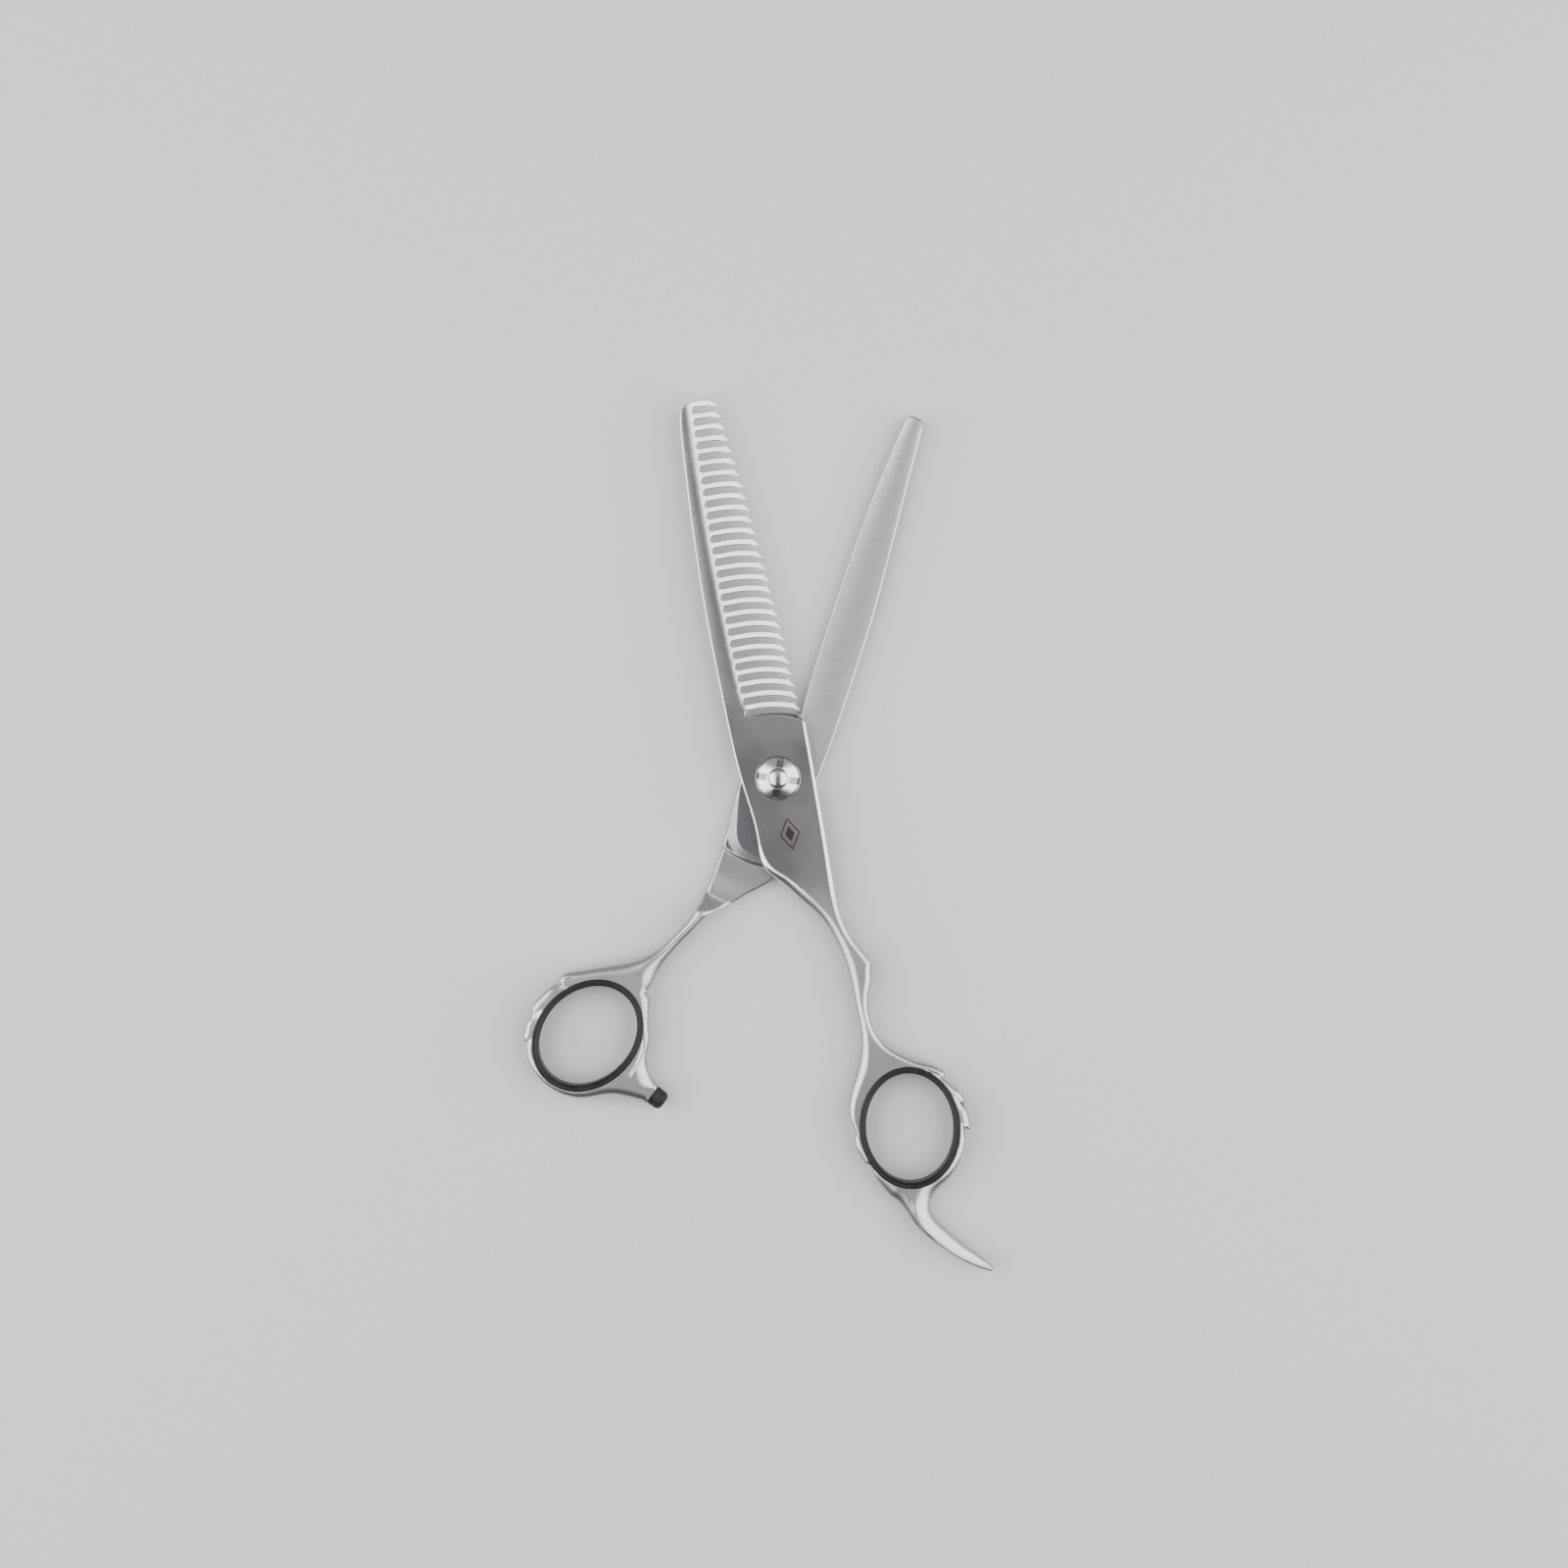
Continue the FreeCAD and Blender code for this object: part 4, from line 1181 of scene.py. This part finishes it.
def turned_steel(name, notched):
    """Bright steel with a lathe's fine rings round its axis, and painted shade in the notches."""
    nodes = Skin(name)
    place = nodes.axes(nodes.place)
    squares = [nodes.math("MULTIPLY", place[axis], place[axis]) for axis in "XY"]
    radius = nodes.math("SQRT", nodes.math("ADD", *squares))
    inputs = {"W": radius, "Scale": 14000.0}
    rings = nodes.add("ShaderNodeTexNoise", inputs, noise_dimensions="1D").outputs[0]
    tangent = nodes.add("ShaderNodeTangent", direction_type="RADIAL", axis="Z")
    nodes.put(nodes.shader.inputs["Tangent"], tangent.outputs[0])
    nodes.put(nodes.shader.inputs["Anisotropic"], 0.5 if notched else 0.1)
    tint = nodes.mix(rings, colour(0.72, 0.7, 0.69), colour(0.6, 0.585, 0.575))
    if notched:
        # Painted shade: the tint darkens on the notches' floors and walls, below the cone, where shade
        # falls.
        cone = nodes.math("MULTIPLY", nodes.math("SUBTRACT", radius, CONE_INNER * MM), -CONE_SLOPE)
        under = nodes.math("SUBTRACT", nodes.math("ADD", cone, (DIAL_HIGH - 0.03) * MM), place["Z"])
        inside = nodes.math("MULTIPLY", nodes.ramp(under, 0.05 * MM, 0.12 * MM),
                            nodes.ramp(radius, 3.86 * MM, 3.8 * MM))
        tint = nodes.mix(inside, tint, NOTCH_PAINTED_SHADE)
    nodes.bump(rings, 1.5e-6, 0.5)
    return nodes.finish(tint, 1.0, nodes.ramp(nodes.noise(120.0, 3.0), 0.3, 0.7, 0.18, 0.23))


def rubber(name, base, light, roughness):
    """Moulded rubber with a fine pebbled skin and a little dust."""
    nodes = Skin(name)
    dust = nodes.noise(260.0, 5.0)
    tint = nodes.mix(nodes.ramp(dust, 0.45, 0.75), base, light)
    nodes.bump(nodes.noise(4000.0, 3.0), 1e-5, 0.4)
    nodes.put(nodes.shader.inputs["Specular IOR Level"], 0.3)
    return nodes.finish(tint, 0.0, nodes.ramp(dust, 0.3, 0.7, roughness, roughness + 0.12))


def glide_plastic():
    """Pale, slightly hazy plastic."""
    nodes = Skin("glide_plastic")
    nodes.bump(nodes.noise(3000.0, 2.0), 4e-6, 0.3)
    tint = nodes.mix(nodes.noise(300.0, 3.0), colour(0.75, 0.74, 0.7), colour(0.68, 0.67, 0.62))
    return nodes.finish(tint, 0.0, 0.4)


def floor_material():
    nodes = Skin("studio_floor")
    tint = nodes.mix(nodes.noise(3.0, 2.0), colour(0.62, 0.62, 0.62), colour(0.6, 0.6, 0.605))
    return nodes.finish(tint, 0.0, 0.8)


def give(piece, material):
    piece.data.materials.clear()
    piece.data.materials.append(material)


def give_node(node, material):
    holder = bpy.data.objects[node]
    for slot in holder.material_slots:
        slot.link = "OBJECT"
        slot.material = material


# ---- Studio ----

def soft_box(name, place):
    """A rectangular lamp that faces the frame's origin from a place."""
    data = bpy.data.lights.new(name, "AREA")
    data.shape = "RECTANGLE"
    data.size, data.size_y = BOX_SIZE
    data.energy = BOX_POWER
    lamp = bpy.data.objects.new(name, data)
    bpy.context.scene.collection.objects.link(lamp)
    lamp.location = place
    lamp.rotation_euler = place.to_track_quat("Z", "Y").to_euler()


def make_studio():
    bpy.ops.mesh.primitive_plane_add(size=FLOOR_SIZE, location=(0, 0, 0))
    floor = bpy.context.object
    floor.name = "floor"
    give(floor, floor_material())
    make_sky()
    right = Vector((math.cos(VIEW_LEAN), -math.sin(VIEW_LEAN), 0))
    up = Vector((0, 0, math.cos(BOX_LEAN)))
    for name, side in (("left_box", -1), ("right_box", 1)):
        soft_box(name, (right * side * math.sin(BOX_LEAN) + up) * BOX_DISTANCE)


def make_sky():
    """A dim room: darkest overhead, lighter towards the horizon and towards its far end."""
    world = bpy.data.worlds.new("studio")
    world.use_nodes = True
    nodes = Nodes(world.node_tree)
    place = nodes.axes(nodes.add("ShaderNodeTexCoord").outputs["Generated"])
    overhead = nodes.ramp(place["Z"], 0.2, 0.97, SKY_HORIZON, SKY_ZENITH)
    far_end = nodes.ramp(place["Y"], 0.02, 0.3, 0.0, SKY_BACK)
    background = world.node_tree.nodes["Background"]
    background.inputs["Color"].default_value = colour(0.98, 0.98, 1.0)
    nodes.put(background.inputs["Strength"], nodes.math("ADD", overhead, far_end))
    bpy.context.scene.world = world


def make_camera():
    data = bpy.data.cameras.new("camera")
    data.sensor_width = SENSOR_WIDTH
    data.lens = SENSOR_WIDTH * CAMERA_HEIGHT / VIEW_WIDTH
    data.clip_start = 0.01
    camera = bpy.data.objects.new("camera", data)
    bpy.context.scene.collection.objects.link(camera)
    camera.location = (*VIEW_CENTRE, CAMERA_HEIGHT + COMB_HIGH * MM)
    camera.rotation_euler = (0, 0, -VIEW_LEAN)
    bpy.context.scene.camera = camera


comb_half = make_comb_half()
plain_half = make_plain_half()
finger_insert = make_insert("finger_insert_rubber", FINGER_RING, 0.0, "finger_ring_insert",
                            "comb_half")
thumb_insert = make_insert("thumb_insert_rubber", THUMB_RING, -OPEN_ANGLE, "thumb_ring_insert",
                           "plain_half")
bumper = make_bumper()
stud = make_stud()
dial = make_dial()

give(comb_half, comb_steel())
give(plain_half, plain_steel())
insert_rubber = rubber("insert_rubber", colour(0.004, 0.004, 0.0045), colour(0.009, 0.009, 0.0095),
                       0.38)
give(finger_insert, insert_rubber)
give(thumb_insert, insert_rubber)
give(bumper, rubber("bumper_rubber", colour(0.01, 0.0105, 0.012), colour(0.022, 0.022, 0.024), 0.5))
give(stud, turned_steel("stud_steel", False))
give(dial, turned_steel("dial_steel", True))
bearing = bearing_metal("bearing_steel", colour(0.6, 0.6, 0.61), colour(0.5, 0.5, 0.51), 0.2)
brass = bearing_metal("bearing_brass", colour(0.62, 0.44, 0.2), colour(0.5, 0.34, 0.14), 0.25)
for node in ("spring_washer", "upper_race", "lower_race", "bearing_balls"):
    give_node(node, bearing)
for node in ("ball_cage", "pivot_bush"):
    give_node(node, brass)
give_node("glide_washer", glide_plastic())

make_studio()
make_camera()
